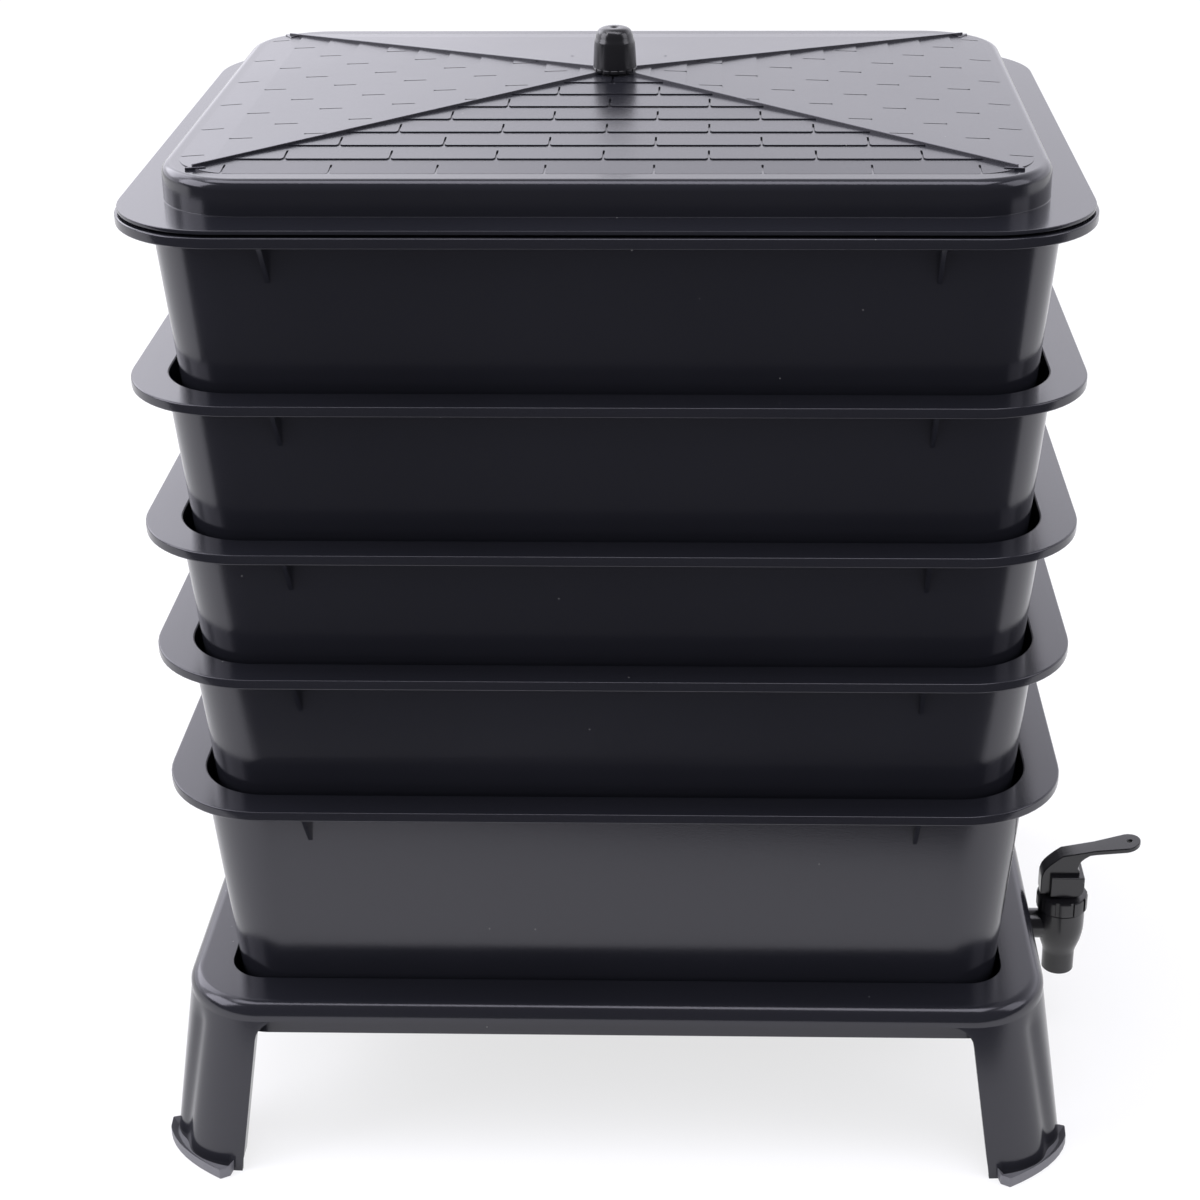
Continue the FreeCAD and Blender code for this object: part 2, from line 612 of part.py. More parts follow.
def tap_body():
    """The turned body with its spout, and the inlet shank with flange and thread."""
    outline = ((0, SPOUT_FOOT), (SPOUT_R, SPOUT_FOOT), (SPOUT_R, SPOUT_TOP), (TAP_R, TAP_WIDE),
               (TAP_R, TAP_TOP), (0, TAP_TOP))
    body = join([turned(outline, TAP_X, TAP_Y), along_shank(SHANK_R, FLANGE_START, TAP_X),
                 hexagon(FLANGE_ACROSS_FLATS, FLANGE_START, FLANGE_THICKNESS),
                 along_shank(THREAD_R, THREAD_START, FLANGE_START + FLANGE_THICKNESS)])
    low = SPOUT_FOOT - OVERSHOOT
    high = TAP_TOP + OVERSHOOT
    bore = ((0, low), (SPOUT_BORE_R, low), (SPOUT_BORE_R, SEAT_Z), (CHAMBER_R, SEAT_Z),
            (CHAMBER_R, high), (0, high))
    body = body.cut(turned(bore, TAP_X, TAP_Y))
    return body.cut(along_shank(SHANK_BORE_R, THREAD_START - OVERSHOOT, TAP_X))


def tap_bonnet():
    """The notched collar that plugs into the body, guides the stem and carries the lever."""
    plug = CHAMBER_R - BONNET_CLEARANCE
    collar_z = TAP_TOP + COLLAR_GAP
    bore = STEM_R + STEM_CLEARANCE
    outline = ((BONNET_POCKET_R, BONNET_FOOT), (plug, BONNET_FOOT), (plug, COLLAR_TOP - BITE),
               (bore, COLLAR_TOP - BITE), (bore, BONNET_ROOF), (BONNET_POCKET_R, BONNET_ROOF))
    core = turned(outline, TAP_X, TAP_Y)
    points = []
    pitch = 2 * math.pi / COLLAR_NOTCHES
    half_notch = COLLAR_NOTCH_SHARE / 2
    steps = ((half_notch, COLLAR_R), (0.5, COLLAR_R), (1 - half_notch, COLLAR_R),
             (1 - half_notch, COLLAR_R - COLLAR_NOTCH_DEPTH),
             (1 + half_notch, COLLAR_R - COLLAR_NOTCH_DEPTH))
    for index in range(COLLAR_NOTCHES):
        for share, radius in steps:
            turn = pitch * (index + share)
            points.append((TAP_X + radius * math.cos(turn), TAP_Y + radius * math.sin(turn), collar_z))
    collar = prism(points, (0, 0, COLLAR_TOP - collar_z))
    half = BONNET_BOSS / 2
    boss = box((TAP_X - half, TAP_Y - half, COLLAR_TOP - BITE), (TAP_X + half, TAP_Y + half, BONNET_TOP))
    collar = collar.cut(rod(BONNET_POCKET_R, (TAP_X, TAP_Y, collar_z), (TAP_X, TAP_Y, BONNET_ROOF)))
    body = join([core, collar, boss])
    return body.cut(rod(bore, (TAP_X, TAP_Y, BONNET_ROOF), (TAP_X, TAP_Y, BONNET_TOP + OVERSHOOT)))


SEAL_TOP = SEAT_Z + SEAL_CLEARANCE + SEAL_THICKNESS


def valve_stem():
    """The rod that lifts the seal; its flattened top is hinged to the lever."""
    foot_z = SEAL_TOP + SEAL_CLEARANCE
    rod_top = BONNET_TOP + BITE
    top = PIN_Z + PIN_R + TANG_PAST_PIN
    outline = ((0, foot_z), (STEM_BASE_R, foot_z), (STEM_BASE_R, STEM_BASE_TOP), (STEM_R, STEM_BASE_TOP),
               (STEM_R, rod_top), (0, rod_top))
    tang = box((TAP_X - TANG_HALF_X, TAP_Y - TANG_HALF_Y, rod_top - BITE),
               (TAP_X + TANG_HALF_X, TAP_Y + TANG_HALF_Y, top))
    ends = ((TAP_X, TAP_Y - STEM_R, PIN_Z), (TAP_X, TAP_Y + STEM_R, PIN_Z))
    tang = tang.cut(rod(PIN_R + PIN_CLEARANCE, *ends))
    return join([turned(outline, TAP_X, TAP_Y), tang])


def valve_seal():
    """The rubber disc under the stem, closed on its seat."""
    return rod(SEAL_R, (TAP_X, TAP_Y, SEAL_TOP - SEAL_THICKNESS), (TAP_X, TAP_Y, SEAL_TOP))


def valve_spring():
    """A coil between the stem's base and the bonnet's roof, of straight lengths of square wire."""
    low = STEM_BASE_TOP + SPRING_WIRE / 2 + SPRING_GAP
    high = BONNET_ROOF - SPRING_WIRE / 2 - SPRING_GAP
    steps = int(SPRING_TURNS * SPRING_SIDES)
    rings = []
    for index in range(steps + 1):
        turn = 2 * math.pi * index / SPRING_SIDES
        out = Vector(math.cos(turn), math.sin(turn), 0)
        middle = Vector(TAP_X, TAP_Y, low + (high - low) * index / steps) + out * SPRING_R
        half = SPRING_WIRE / 2
        rings.append([middle + out * a * half + Vector(0, 0, b * half)
                      for a, b in ((-1, -1), (1, -1), (1, 1), (-1, 1))])
    faces = [Part.Face(Part.makePolygon(end + end[:1])) for end in (rings[0], rings[-1])]
    for one, other in zip(rings, rings[1:]):
        for side in range(4):
            after = (side + 1) % 4
            for loop in ((one[side], one[after], other[after]), (one[side], other[after], other[side])):
                faces.append(Part.Face(Part.makePolygon(list(loop) + [loop[0]])))
    return closed_solid(faces)


def ring(inner, outer, start, end):
    """A flat washer on the tap's inlet axis."""
    return along_shank(outer, start, end).cut(along_shank(inner, start - OVERSHOOT, end + OVERSHOOT))


def tap_nut():
    """A hexagonal nut on the thread, inside the sump."""
    blank = hexagon(NUT_ACROSS_FLATS, NUT_START, NUT_THICKNESS)
    return blank.cut(along_shank(THREAD_R + NUT_CLEARANCE, NUT_START - OVERSHOOT, NUT_END + OVERSHOOT))


def lever_point(x, z, y=0.0):
    """A point of the lever from its distance to the tap's axis."""
    return Vector(TAP_X + x, TAP_Y + y, z)


def arm_top(x):
    """Height of the arm's upper face at a distance from the tap's axis."""
    return PIN_Z + ARM_ROOT[1] + ARM_SLOPE * (x - ARM_ROOT[0])


def lever_hook():
    """Neck and arm, drawn from the side and as wide as the arm."""
    y = -ARM_HALF_WIDTH
    end = ARM_TIP - PADDLE_HALF_WIDTH
    base = BONNET_TOP + LEVER_BASE_GAP
    root_x = NECK_ROOT[0][0]
    inside = LEVER_TOP - OVERSHOOT
    bend = [lever_point(x, PIN_Z + z, y) for z, x in NECK_BEND]
    root = [lever_point(root_x, arm_top(root_x) - ARM_THICKNESS, y)]
    root += [lever_point(x, PIN_Z + z, y) for x, z in NECK_ROOT[1:]]
    upper = [bend[2], lever_point(end, arm_top(end), y),
             lever_point(end, arm_top(end) - ARM_THICKNESS, y), root[0]]
    lower = [root[2], root[3], lever_point(NECK_ROOT[3][0], inside, y),
             lever_point(-LEVER_BACK + OVERSHOOT, inside, y), lever_point(-LEVER_BACK + OVERSHOOT, base, y),
             lever_point(NECK_BACK, base, y), bend[0]]
    edges = [Part.Arc(*bend).toShape()]
    edges += [Part.makeLine(a, b) for a, b in zip(upper, upper[1:])]
    edges.append(Part.Arc(root[0], root[1], root[2]).toShape())
    edges += [Part.makeLine(a, b) for a, b in zip(lower, lower[1:])]
    return Part.Face(Part.Wire(edges)).extrude(Vector(0, 2 * ARM_HALF_WIDTH, 0))


def lever_paddle():
    """The arm seen from above, which widens to a round end; cut to the arm's slope."""
    start = ARM_WIDENS
    wide = ARM_TIP - PADDLE_HALF_WIDTH
    low = PIN_Z + ARM_ROOT[1] - 2 * ARM_THICKNESS
    points = []
    for side in (-1, 1):
        points.append(lever_point(start, low, side * ARM_HALF_WIDTH))
        points.append(lever_point(wide, low, side * PADDLE_HALF_WIDTH))
    tip = lever_point(ARM_TIP, low)
    edges = [Part.makeLine(points[0], points[1]), Part.Arc(points[1], tip, points[3]).toShape(),
             Part.makeLine(points[3], points[2]), Part.makeLine(points[2], points[0])]
    plan = Part.Face(Part.Wire(edges)).extrude(Vector(0, 0, ARM_TIP))
    reach = ARM_TIP + OVERSHOOT
    band = []
    for x, drop in ((0.0, 0.0), (reach, 0.0), (reach, ARM_THICKNESS), (0.0, ARM_THICKNESS)):
        band.append(tuple(lever_point(x, arm_top(x) - drop, -2 * PADDLE_HALF_WIDTH)))
    slab = prism(band, (0, 4 * PADDLE_HALF_WIDTH, 0))
    return plan.common(slab)


def tap_lever():
    """The lever: a cam block astride the stem, a neck, an arm and a paddle."""
    base = BONNET_TOP + LEVER_BASE_GAP
    low_y = TAP_Y - LEVER_HALF_WIDTH
    block = box((TAP_X - LEVER_BACK, low_y, base),
                (TAP_X + LEVER_FRONT, low_y + 2 * LEVER_HALF_WIDTH, LEVER_TOP))
    cam = []
    for edge in block.Edges:
        bounds = edge.BoundBox
        if bounds.YLength > LEVER_HALF_WIDTH and bounds.XMin > TAP_X and bounds.ZMax < PIN_Z:
            cam.append(edge)
    block = block.makeFillet(CAM_RADIUS, cam)
    lever = join([block, lever_hook(), lever_paddle()])
    half_slot = STEM_R + LEVER_SLOT_CLEARANCE
    slot = box((TAP_X + LEVER_SLOT[0], TAP_Y - half_slot, base - OVERSHOOT),
               (TAP_X + LEVER_SLOT[1], TAP_Y + half_slot, LEVER_TOP - LEVER_SLOT_ROOF))
    hole = rod(PIN_R + PIN_CLEARANCE, (TAP_X, TAP_Y - 2 * LEVER_HALF_WIDTH, PIN_Z),
               (TAP_X, TAP_Y + 2 * LEVER_HALF_WIDTH, PIN_Z))
    return lever.cut(slot).cut(hole)


def lever_pin():
    """The hinge pin through both cheeks and the stem."""
    half = PIN_LENGTH / 2
    return rod(PIN_R, (TAP_X, TAP_Y - half, PIN_Z), (TAP_X, TAP_Y + half, PIN_Z))


# Lid
def stepped_roof(half_span, half_length, across):
    """A ridge roof laid in courses: each stands a step above the one below it."""
    slope = (ROOF_APEX - ROOF_EAVES) / half_span
    foot_z = PLATEAU_TOP - COURSE_STEP
    line = [(half_span, foot_z)]
    edge = half_span
    while edge > 0:
        height = ROOF_APEX - slope * edge
        following = max(edge - COURSE_PITCH, 0)
        line.append((edge, height))
        line.append((following, ROOF_APEX - slope * following - (COURSE_STEP if following else 0)))
        edge = following
    profile = line + [(-x, z) for x, z in reversed(line[:-1])]
    if across == "X":
        return prism([(x, -half_length, z) for x, z in profile], (0, 2 * half_length, 0))
    return prism([(-half_length, y, z) for y, z in profile], (2 * half_length, 0, 0))


def hip_rib():
    """The rib down the front right hip, with its pointed end."""
    slope = (ROOF_APEX - ROOF_EAVES) / ROOF_HALF_X
    hip_y = HIP_REACH_X * ROOF_HALF_Y / ROOF_HALF_X
    length = math.hypot(HIP_REACH_X, hip_y)
    end_z = ROOF_APEX - slope * HIP_REACH_X
    start = KNOB_BASE_R + HIP_FROM_KNOB
    start_z = ROOF_APEX - slope * start * HIP_REACH_X / length
    side = [(start, start_z + HIP_HEIGHT), (length, end_z + HIP_HEIGHT), (length, end_z - HIP_SINK),
            (start, start_z - HIP_SINK)]
    rib = prism([(s, -HIP_WIDTH / 2, z) for s, z in side], (0, HIP_WIDTH, 0))
    back, forward, half = HIP_TIP
    low = PLATEAU_TOP - HIP_SINK
    tip = prism([(length + back, -half, low), (length + forward, 0, low), (length + back, half, low)],
                (0, 0, end_z + HIP_HEIGHT / 2 - low))
    both = rib.fuse(tip)
    both.rotate(Vector(0, 0, 0), Vector(0, 0, 1), -math.degrees(math.atan2(hip_y, HIP_REACH_X)))
    return both


def catch(along, side):
    """A block under the flange: its pad sits on the top tray's rim and its rib inside the wall."""
    outer = (TRAY_WALL_X if along == "X" else TRAY_WALL_Y) - WALL - CATCH_CLEARANCE
    inner = outer - CATCH_RIB
    low = FLANGE_TOP - LID_FLANGE
    pad = RIM_TOPS[0] + SEAT_GAP
    top = low + BITE
    profile = ((inner, low - CATCH_DROP), (outer, low - CATCH_DROP), (outer, pad), (outer + CATCH_PAD, pad),
               (outer + CATCH_PAD, top), (inner, top))
    return web(profile, along, side, 0, CATCH_LENGTH)


def lid():
    """Flange, raised top with a shingled hip roof, and catches below that fit the top tray."""
    low = FLANGE_TOP - LID_FLANGE
    flange = plate(LID_HALF_X, LID_HALF_Y, LID_RADIUS, low, FLANGE_TOP)
    plateau = eased(PLATEAU_HALF_X, PLATEAU_HALF_Y, PLATEAU_RADIUS, low, PLATEAU_TOP, PLATEAU_ROUND)
    roof = stepped_roof(ROOF_HALF_X, ROOF_HALF_Y, "X").common(stepped_roof(ROOF_HALF_Y, ROOF_HALF_X, "Y"))
    roof = roof.common(plate(ROOF_HALF_X, ROOF_HALF_Y, ROOF_RADIUS, low, ROOF_APEX))
    seat_outline = regular_polygon(KNOB_SEAT_SIDES, KNOB_SEAT_R, PLATEAU_TOP)
    seat = prism(seat_outline, (0, 0, ROOF_APEX - PLATEAU_TOP))
    catches = [catch(along, side) for along in "XY" for side in (-1, 1)]
    body = join([flange, plateau, roof, seat] + four_corners(hip_rib()) + catches)

    hollow_top = PLATEAU_TOP - ROOF_THICKNESS
    hollow = plate(PLATEAU_HALF_X - LID_WALL, PLATEAU_HALF_Y - LID_WALL, PLATEAU_RADIUS - LID_WALL,
                   low - OVERSHOOT, hollow_top)
    rings = []
    for scale, z in ((1.0, hollow_top), (ATTIC_TOP_SHARE, ROOF_APEX - ROOF_THICKNESS - COURSE_STEP)):
        rings.append([(a * ROOF_HALF_X * scale, b * ROOF_HALF_Y * scale, z)
                      for a, b in ((1, -1), (1, 1), (-1, 1), (-1, -1))])
    body = body.cut(hollow.fuse(frustum(*rings)))
    screw_hole = rod(SCREW_R + SCREW_CLEARANCE, (0, 0, PLATEAU_TOP), (0, 0, ROOF_APEX + OVERSHOOT))
    return body.cut(screw_hole)


def knob():
    """The knob, stepped in at a shoulder, with a blind hole for its screw."""
    top = ROOF_APEX + KNOB_HEIGHT
    shoulder = ROOF_APEX + KNOB_SHOULDER * KNOB_HEIGHT
    body = turned(((0, ROOF_APEX), (KNOB_BASE_R, ROOF_APEX), (KNOB_BASE_R, shoulder), (KNOB_TOP_R, shoulder),
                   (KNOB_TOP_R, top), (0, top)))
    return body.cut(rod(SCREW_R + SCREW_IN_KNOB, (0, 0, ROOF_APEX - OVERSHOOT),
                        (0, 0, ROOF_APEX + SCREW_LENGTH + SCREW_BEYOND)))


def knob_screw():
    """The screw that comes up through the lid into the knob."""
    underside = ROOF_APEX - ROOF_THICKNESS - COURSE_STEP
    seat = underside - SCREW_SEAT
    shank_top = ROOF_APEX + SCREW_LENGTH
    return turned(((0, underside - SCREW_HEAD), (SCREW_HEAD_R, underside - SCREW_HEAD), (SCREW_HEAD_R, seat),
                   (SCREW_R, seat), (SCREW_R, shank_top), (0, shank_top)))


# Nodes
def rise(index):
    """Height of tray index's fins: up to the underside of the tray above it."""
    above = max(index - 1, 0)
    carrier = index if index else 1
    return TRAY_BOTTOMS[above] - TRAY_BOTTOMS[carrier] - SEAT_GAP


def build():
    """Every node by name."""
    nodes = {"lid": lid(), "lid_knob": knob(), "knob_screw": knob_screw()}
    for index, bottom in enumerate(TRAY_BOTTOMS):
        nodes["tray_%d" % (index + 1)] = tray(bottom, rise(index))
    nodes["stand"] = stand()
    nodes["tap_body"] = tap_body()
    nodes["tap_bonnet"] = tap_bonnet()
    nodes["tap_lever"] = tap_lever()
    nodes["lever_pin"] = lever_pin()
    nodes["valve_stem"] = valve_stem()
    nodes["valve_seal"] = valve_seal()
    nodes["valve_spring"] = valve_spring()
    inner = THREAD_R + WASHER_CLEARANCE
    nodes["tap_outer_washer"] = ring(inner, WASHER_R, WALL_OUT, FLANGE_START)
    nodes["tap_inner_washer"] = ring(inner, INNER_WASHER_R, NUT_END, SUMP_OUTER_X)
    nodes["tap_nut"] = tap_nut()
    return nodes


os.makedirs("parts", exist_ok=True)
for name, shape in build().items():
    solids = shape.Solids
    if len(solids) != 1 or not shape.isValid():
        raise ValueError("%s: %d solids, valid %s" % (name, len(solids), shape.isValid()))
    solids[0].exportStep("parts/%s.step" % name)
    print(name, len(shape.Faces), "faces", round(shape.Volume / 1000, 1), "cm3")
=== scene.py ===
"""Dresses the stacking wormery's frame in moulded plastic, and sets floor, light and camera.

The scene is in metres. The object's own sizes are written in millimetres and multiplied by MM where they
are used. Floor, lamps and camera are written in metres.
"""
import json
import math

import bmesh
import bpy
from mathutils import Matrix, Vector


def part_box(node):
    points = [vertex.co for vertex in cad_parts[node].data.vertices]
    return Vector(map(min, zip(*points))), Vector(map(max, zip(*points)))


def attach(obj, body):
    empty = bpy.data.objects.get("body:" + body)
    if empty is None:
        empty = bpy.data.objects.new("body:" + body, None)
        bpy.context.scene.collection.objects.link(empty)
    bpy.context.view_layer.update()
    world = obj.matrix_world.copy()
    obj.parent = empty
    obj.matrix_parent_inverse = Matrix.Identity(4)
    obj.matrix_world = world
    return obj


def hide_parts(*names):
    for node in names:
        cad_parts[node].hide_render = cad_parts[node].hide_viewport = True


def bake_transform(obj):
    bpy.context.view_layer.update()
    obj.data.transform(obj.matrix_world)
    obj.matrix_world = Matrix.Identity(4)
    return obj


bl_info = {
    "name": "Stacking wormery",
    "version": (1, 0, 0),
    "blender": (4, 5, 0),
    "location": "3D View > Sidebar > Wormery",
    "description": "Models and finishes a stacking wormery round its packed frame",
    "category": "Add Mesh",
}

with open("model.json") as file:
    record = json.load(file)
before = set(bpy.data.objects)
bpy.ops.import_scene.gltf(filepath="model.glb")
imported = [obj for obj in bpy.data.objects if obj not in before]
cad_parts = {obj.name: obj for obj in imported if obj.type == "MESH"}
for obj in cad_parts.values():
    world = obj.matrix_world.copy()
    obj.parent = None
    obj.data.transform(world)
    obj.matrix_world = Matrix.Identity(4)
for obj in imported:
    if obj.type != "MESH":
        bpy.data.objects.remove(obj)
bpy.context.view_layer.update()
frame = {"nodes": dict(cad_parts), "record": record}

MM = 0.001
NEAR = 1e-5                       # two places closer than this are the same
SLACK = 1e-4                      # what a test for a region allows round it

CAMERA_PLACE = (0.0477215, -1.1004747, 0.7560361)
CAMERA_YAW = -1.52848331          # degrees, as pitch and roll are
CAMERA_PITCH = 24.27676028
CAMERA_ROLL = 0.39782905
CAMERA_FOCAL_PX = 2379.3726963
CAMERA_CENTRE_PX = (657.5694016, 536.1163738)
IMAGE_PX = 1200.0

WHITE = (1.0, 1.0, 1.0, 1.0)
RAYS = ("Is Camera Ray", "Is Glossy Ray", "Is Transmission Ray")
FLOOR_SIZE = 14.0
FLOOR_IN_FRONT = 0.352            # from the origin to the floor's front edge
FLOOR_TURN = 5.0                  # degrees; the edge lies further forward on the left
FLOOR_GLOW = 0.7                  # share of plain white in the floor that the camera and reflections see
BACKDROP_SIDE = 0.35              # share of the backdrop that is seen straight to the side
BACKDROP_GAIN = 1.6               # gained for each unit of direction further back
BACKDROP_FULL = 0.36              # sine of the elevation up to which the backdrop is fully bright
BACKDROP_FADE = 2.5               # loss above it, for each unit of sine
BACKDROP_FOOT = 0.60              # share of the light that is left near the floor
BACKDROP_FOOT_TOP = 0.24          # sine of the elevation up to which only that share is left
BACKDROP_FOOT_GAIN = 8.0          # gained above it, for each unit of sine
BACKDROP_LEVEL = 1.65
BACKDROP_LEAST = 0.35             # light of the backdrop at every height
LEFT_FROM = -0.02                 # direction across from which the left counts
LEFT_GAIN = 4.0                   # gained for each unit of direction further left
LEFT_LEVEL = 1.0                  # light added on the left
LEFT_FADE = 1.1                   # loss above that is spared on the left
ROOM_LEVEL = 0.10                 # light of the room, in reflections alone
DIFFUSE_LEVEL = 1.1               # light of the surroundings on matt surfaces
SOFTBOXES = (                     # name, place, height that it looks at, size and power
    ("back_left_softbox", (-1.7, 1.2, 1.6), 0.3, (1.4, 1.4), 14),
    ("overhead_softbox", (-0.1, -0.25, 2.3), 0.3, (2.4, 1.0), 26),
    ("left_softbox", (-2.2, -0.6, 1.6), 0.25, (1.6, 1.8), 40),
    ("right_softbox", (2.2, -0.6, 1.6), 0.25, (1.2, 1.8), 15),
)

CLOUDS = 9.0                      # scales of the plastic's patterns, per metre
GRAIN = 1400.0
SPECKS = 320.0
SPECK_SIZE = 0.10                 # share of a cell
DUST = (0.16, 0.16, 0.15, 1.0)
SHEEN = (0.95, 0.94, 1.0, 1.0)    # tint of the reflections on lid, trays and stand
CLOUD_TONE = 1.35                 # colour inside a cloud, as a multiple of the base
CLOUD_ROUGHNESS = 0.07
CLOUD_HEIGHT = 0.6                # to the grain's 1
DUST_ROUGHNESS = 0.2
GRAIN_DEPTH = 0.0002              # metres
MOULDED = {                       # roughness, strength of the grain, share of specks, level of reflections
    "satin_plastic": (0.17, 0.10, 0.006, 0.62),
    "tile_plastic": (0.25, 0.10, 0.006, 0.80),
    # the feet, whose lighter colour (below) is a painted reflection of the floor
    "feet_painted_light_plastic": (0.5, 0.3, 0.02, 0.6),
    "gloss_black_plastic": (0.22, 0.04, 0.01, 0.6),
    "black_rubber": (0.62, 0.3, 0.0, 0.4),
}
FEET_PAINTED_LIGHT_TONE = 8.0                  # feet lightened as a painted reflection, as a multiple of the gloss plastic's
FEET_PAINTED_LIGHT_GREY = 0.04                 # and the grey added to that painted reflection
STREAKS = 900.0                   # per metre, drawn out along the height
STREAK_STRETCH = (1, 1, 0.1)
STEEL_ROUGHNESS = (0.22, 0.16)    # the least, and what a streak adds

STAND_EDGE = 0.4                  # roundings of the edges; those of lid and trays are settings
FOOT_EDGE = 0.5
RIB_EDGE = 0.2
SHANK_EDGE = 0.4
LEVER_EDGE = 0.5
OVERLAP = 0.5                     # how far a web runs into the wall that it joins
CUT = 5.0                         # how far a cutter reaches past what it cuts

TRAYS = ("tray_1", "tray_2", "tray_3", "tray_4", "tray_5")
TRAY_HEIGHT = 119.6
TRAY_WALL = 2.0
RIM_HALF = (210.0, 165.5)
RIM_RADIUS = 49.5
RIM_LIP = 4.8
RIM_TO_INSIDE = 16.6
TRAY_TAPER = 0.0903
FIN_THICKNESS = 3.0
FIN_SHELF = 8.0
FIN_UPSTAND = 8.0
FIN_CLEARANCE = 0.8
FIN_SEAT = 0.2
SLOT_PITCH = (100.0, 110.0)       # drain slots in a tray's floor, three by two
SLOT_HALF = (18.0, 3.0)
GUSSET_X = 141.0                  # thin webs under the rim of the long walls
GUSSET_DROP = 24.7
GUSSET_LIFT = 0.3
GUSSET_THICKNESS = 2.0

LID_HALF = (208.8, 164.35)
LID_RADIUS = 48.3
LID_TOP = 470.1
LID_WALL = 1.8
PLATEAU_HALF = (190.6, 144.8)
PLATEAU_RADIUS = 38.0
PLATEAU_TOP = 485.6
PLATEAU_ROUND = 4.5
ROOF_HALF = (182.9, 133.6)
ROOF_APEX = 498.1
ROOF_EAVES = 486.2
COURSE_PITCH = 16.62
COURSE_STEP = 0.5
HIP_END = (173.7, 126.4)
ROOF_RADIUS = 28.0
SLIT_LENGTH = 10.5
SLIT_SINK = 0.35
SLIT_DEPTH = 3.0
SLIT_FOLLOW = 0.6                 # share of the roof's slope that a slit's floor follows
SLIT_FLARE = ((0.0, 1.5), (0.2, 0.7), (0.7, 0.2), (0.9, -0.1))    # widening, and distance in from the edge
LONG_SLITS = ((-160.4, -115.1, -70.0, -24.5, 21.3, 66.9, 112.8, 157.9),
              (-136.3, -91.3, -46.1, -0.6, 44.3, 89.8, 134.7))
SHORT_SLITS = ((-62.2, -17.7, 26.7, 71.1, 115.6, -106.7), (-83.2, -39.1, 5.8, 49.3, 93.4))
ROOF_SUNK = 0.4                   # how far the roof stands in the raised top
EAVES_RISE = 0.05                 # its lowest edge above the raised top
KEEPER_FOOT = 470.0               # of the block that keeps what lies within the roof's rounded outline
KEEPER_HEIGHT = 40.0
RIB_WIDTH = 1.1
RIB_HEIGHT = 1.0
RIB_START = 9.0                   # from the middle of the roof, under the knob
RIB_SUNK = 1.5
RIB_POINT = ((-4.5, -4.0), (3.5, 0), (-4.5, 4.0))                 # its pointed end, from the rib's own end
RIB_POINT_HEIGHT = 2.2
RIB_POINT_SUNK = 1.0
VENT_AT = (22.6, 47.0)            # two small vents in the roof's back slope
VENT_RADIUS = 0.8
VENT_FOOT = 490.0
SCREW_HOLE_RADIUS = 2.3
CATCH_LENGTH = 40.0
CATCH_DROP = 5.0
CATCH_GAP = 1.0                   # to the inside of the top tray's wall
CATCH_REACH = (3.0, 6.0)          # inwards and outwards from the face at that gap
CATCH_SUNK = 0.4                  # how far it stands in the flange

KNOB_OUTLINE = ((9.3, 0.4), (9.9, 1.5), (10.05, 2.2), (9.9, 6.0), (9.6, 11.0), (9.4, 13.4), (9.2, 14.2),
                (8.8, 15.0), (8.6, 16.0), (8.3, 17.2), (7.9, 18.1), (7.3, 18.9), (6.4, 19.5), (5.2, 19.9),
                (4.0, 20.0), (2.6, 20.0), (1.9, 19.7), (1.0, 19.3), (0.3, 19.2))
KNOB_COLLAR = ((9.9, 0.0), (10.1, 0.2), (10.1, 1.4), (9.9, 1.6))
KNOB_NOTCHES = 16
KNOB_NOTCH = ((9.45, -0.5, -1.0), (11.5, 0.5, 3.0))    # the box that cuts one

STAND_HALF = (208.0, 166.5)
STAND_RADIUS = 38.0
STAND_TOP = 88.8
SKIRT_FOOT = 80.0
STAND_ROUND = 6.5
STAND_WALL = 3.0
OUTER_SHARE = 0.93                # of the half width or depth, past which an edge of the top is an outer one
STAND_SPLAY = 0.1375              # sideways for each unit down, on both sides of a leg
STAND_CORNER = (STAND_HALF[0] - STAND_RADIUS, STAND_HALF[1] - STAND_RADIUS)
ARCH_RADIUS = 10.0
LEG_STEPS = 10
LEG_RETURN = 9.0
RETURN_FOOT = 10.0
BASIN_HALF = (187.5, 143.0)
BASIN_FLOOR = 61.0
BASIN_TAPER = 1.0
FLUTE_ANGLE = (50.0, 10.0)        # at the top of a leg, and gained down to the floor, in degrees
FLUTE_WIDTH = (7.0, 3.0)
FLUTE_DEPTH = 2.2
FLUTE_START = 0.12                # share of the leg's height over which it deepens
FLUTE_SHARE = 0.7                 # depth at the top, as a share of that at the floor
FLUTE_BAND = 0.5                  # how near to the corner's arc a point lies that is pressed in
FOOT_CURVE = (Vector((190.5, 184.0)), Vector((210.7, 168.0)), Vector((221.0, 151.0)))
FOOT_INNER = ((184.5, 174.0), (186.0, 181.5))
FOOT_OUTER = ((221.5, 143.5), (215.0, 141.5))
FOOT_HEIGHT = 5.8
FOOT_RIM = 3.0
FOOT_SUNK = 3.8

TAP_X = 228.3
TAP_Y = -47.0
SHANK_Z = 60.3
TAP_AT = (TAP_X, TAP_Y)
TAP_OUTLINE = ((5.6, 40.0), (5.6, 34.2), (6.0, 33.9), (7.9, 33.9), (8.2, 34.3), (8.2, 40.3), (8.25, 44.5),
               (8.6, 46.6), (9.7, 49.8), (10.8, 53.0), (11.5, 56.5), (11.9, 59.5), (12.0, 63.0), (12.0, 70.6),
               (11.6, 71.0), (8.6, 71.0), (8.6, 69.5))
SHANK_PARTS = ((7.7, 193.0, 222.0), (10.9, 193.0, 196.0), (7.2, 173.5, 194.0))   # radius, from x, to x
COLLAR_OUTLINE = ((12.4, 71.3), (13.1, 71.9), (13.1, 78.6), (12.6, 79.4), (11.8, 79.6), (7.0, 79.6),
                  (7.0, 80.9))
COLLAR_PLUG = ((8.4, 65.2), (8.4, 72.0))
COLLAR_NOTCHES = 10
COLLAR_NOTCH = ((12.2, -1.0, 70.0), (14.5, 1.0, 81.0))
SPRING_RADIUS = 5.0
SPRING_WIRE = 0.9
SPRING_TURNS = 3.5
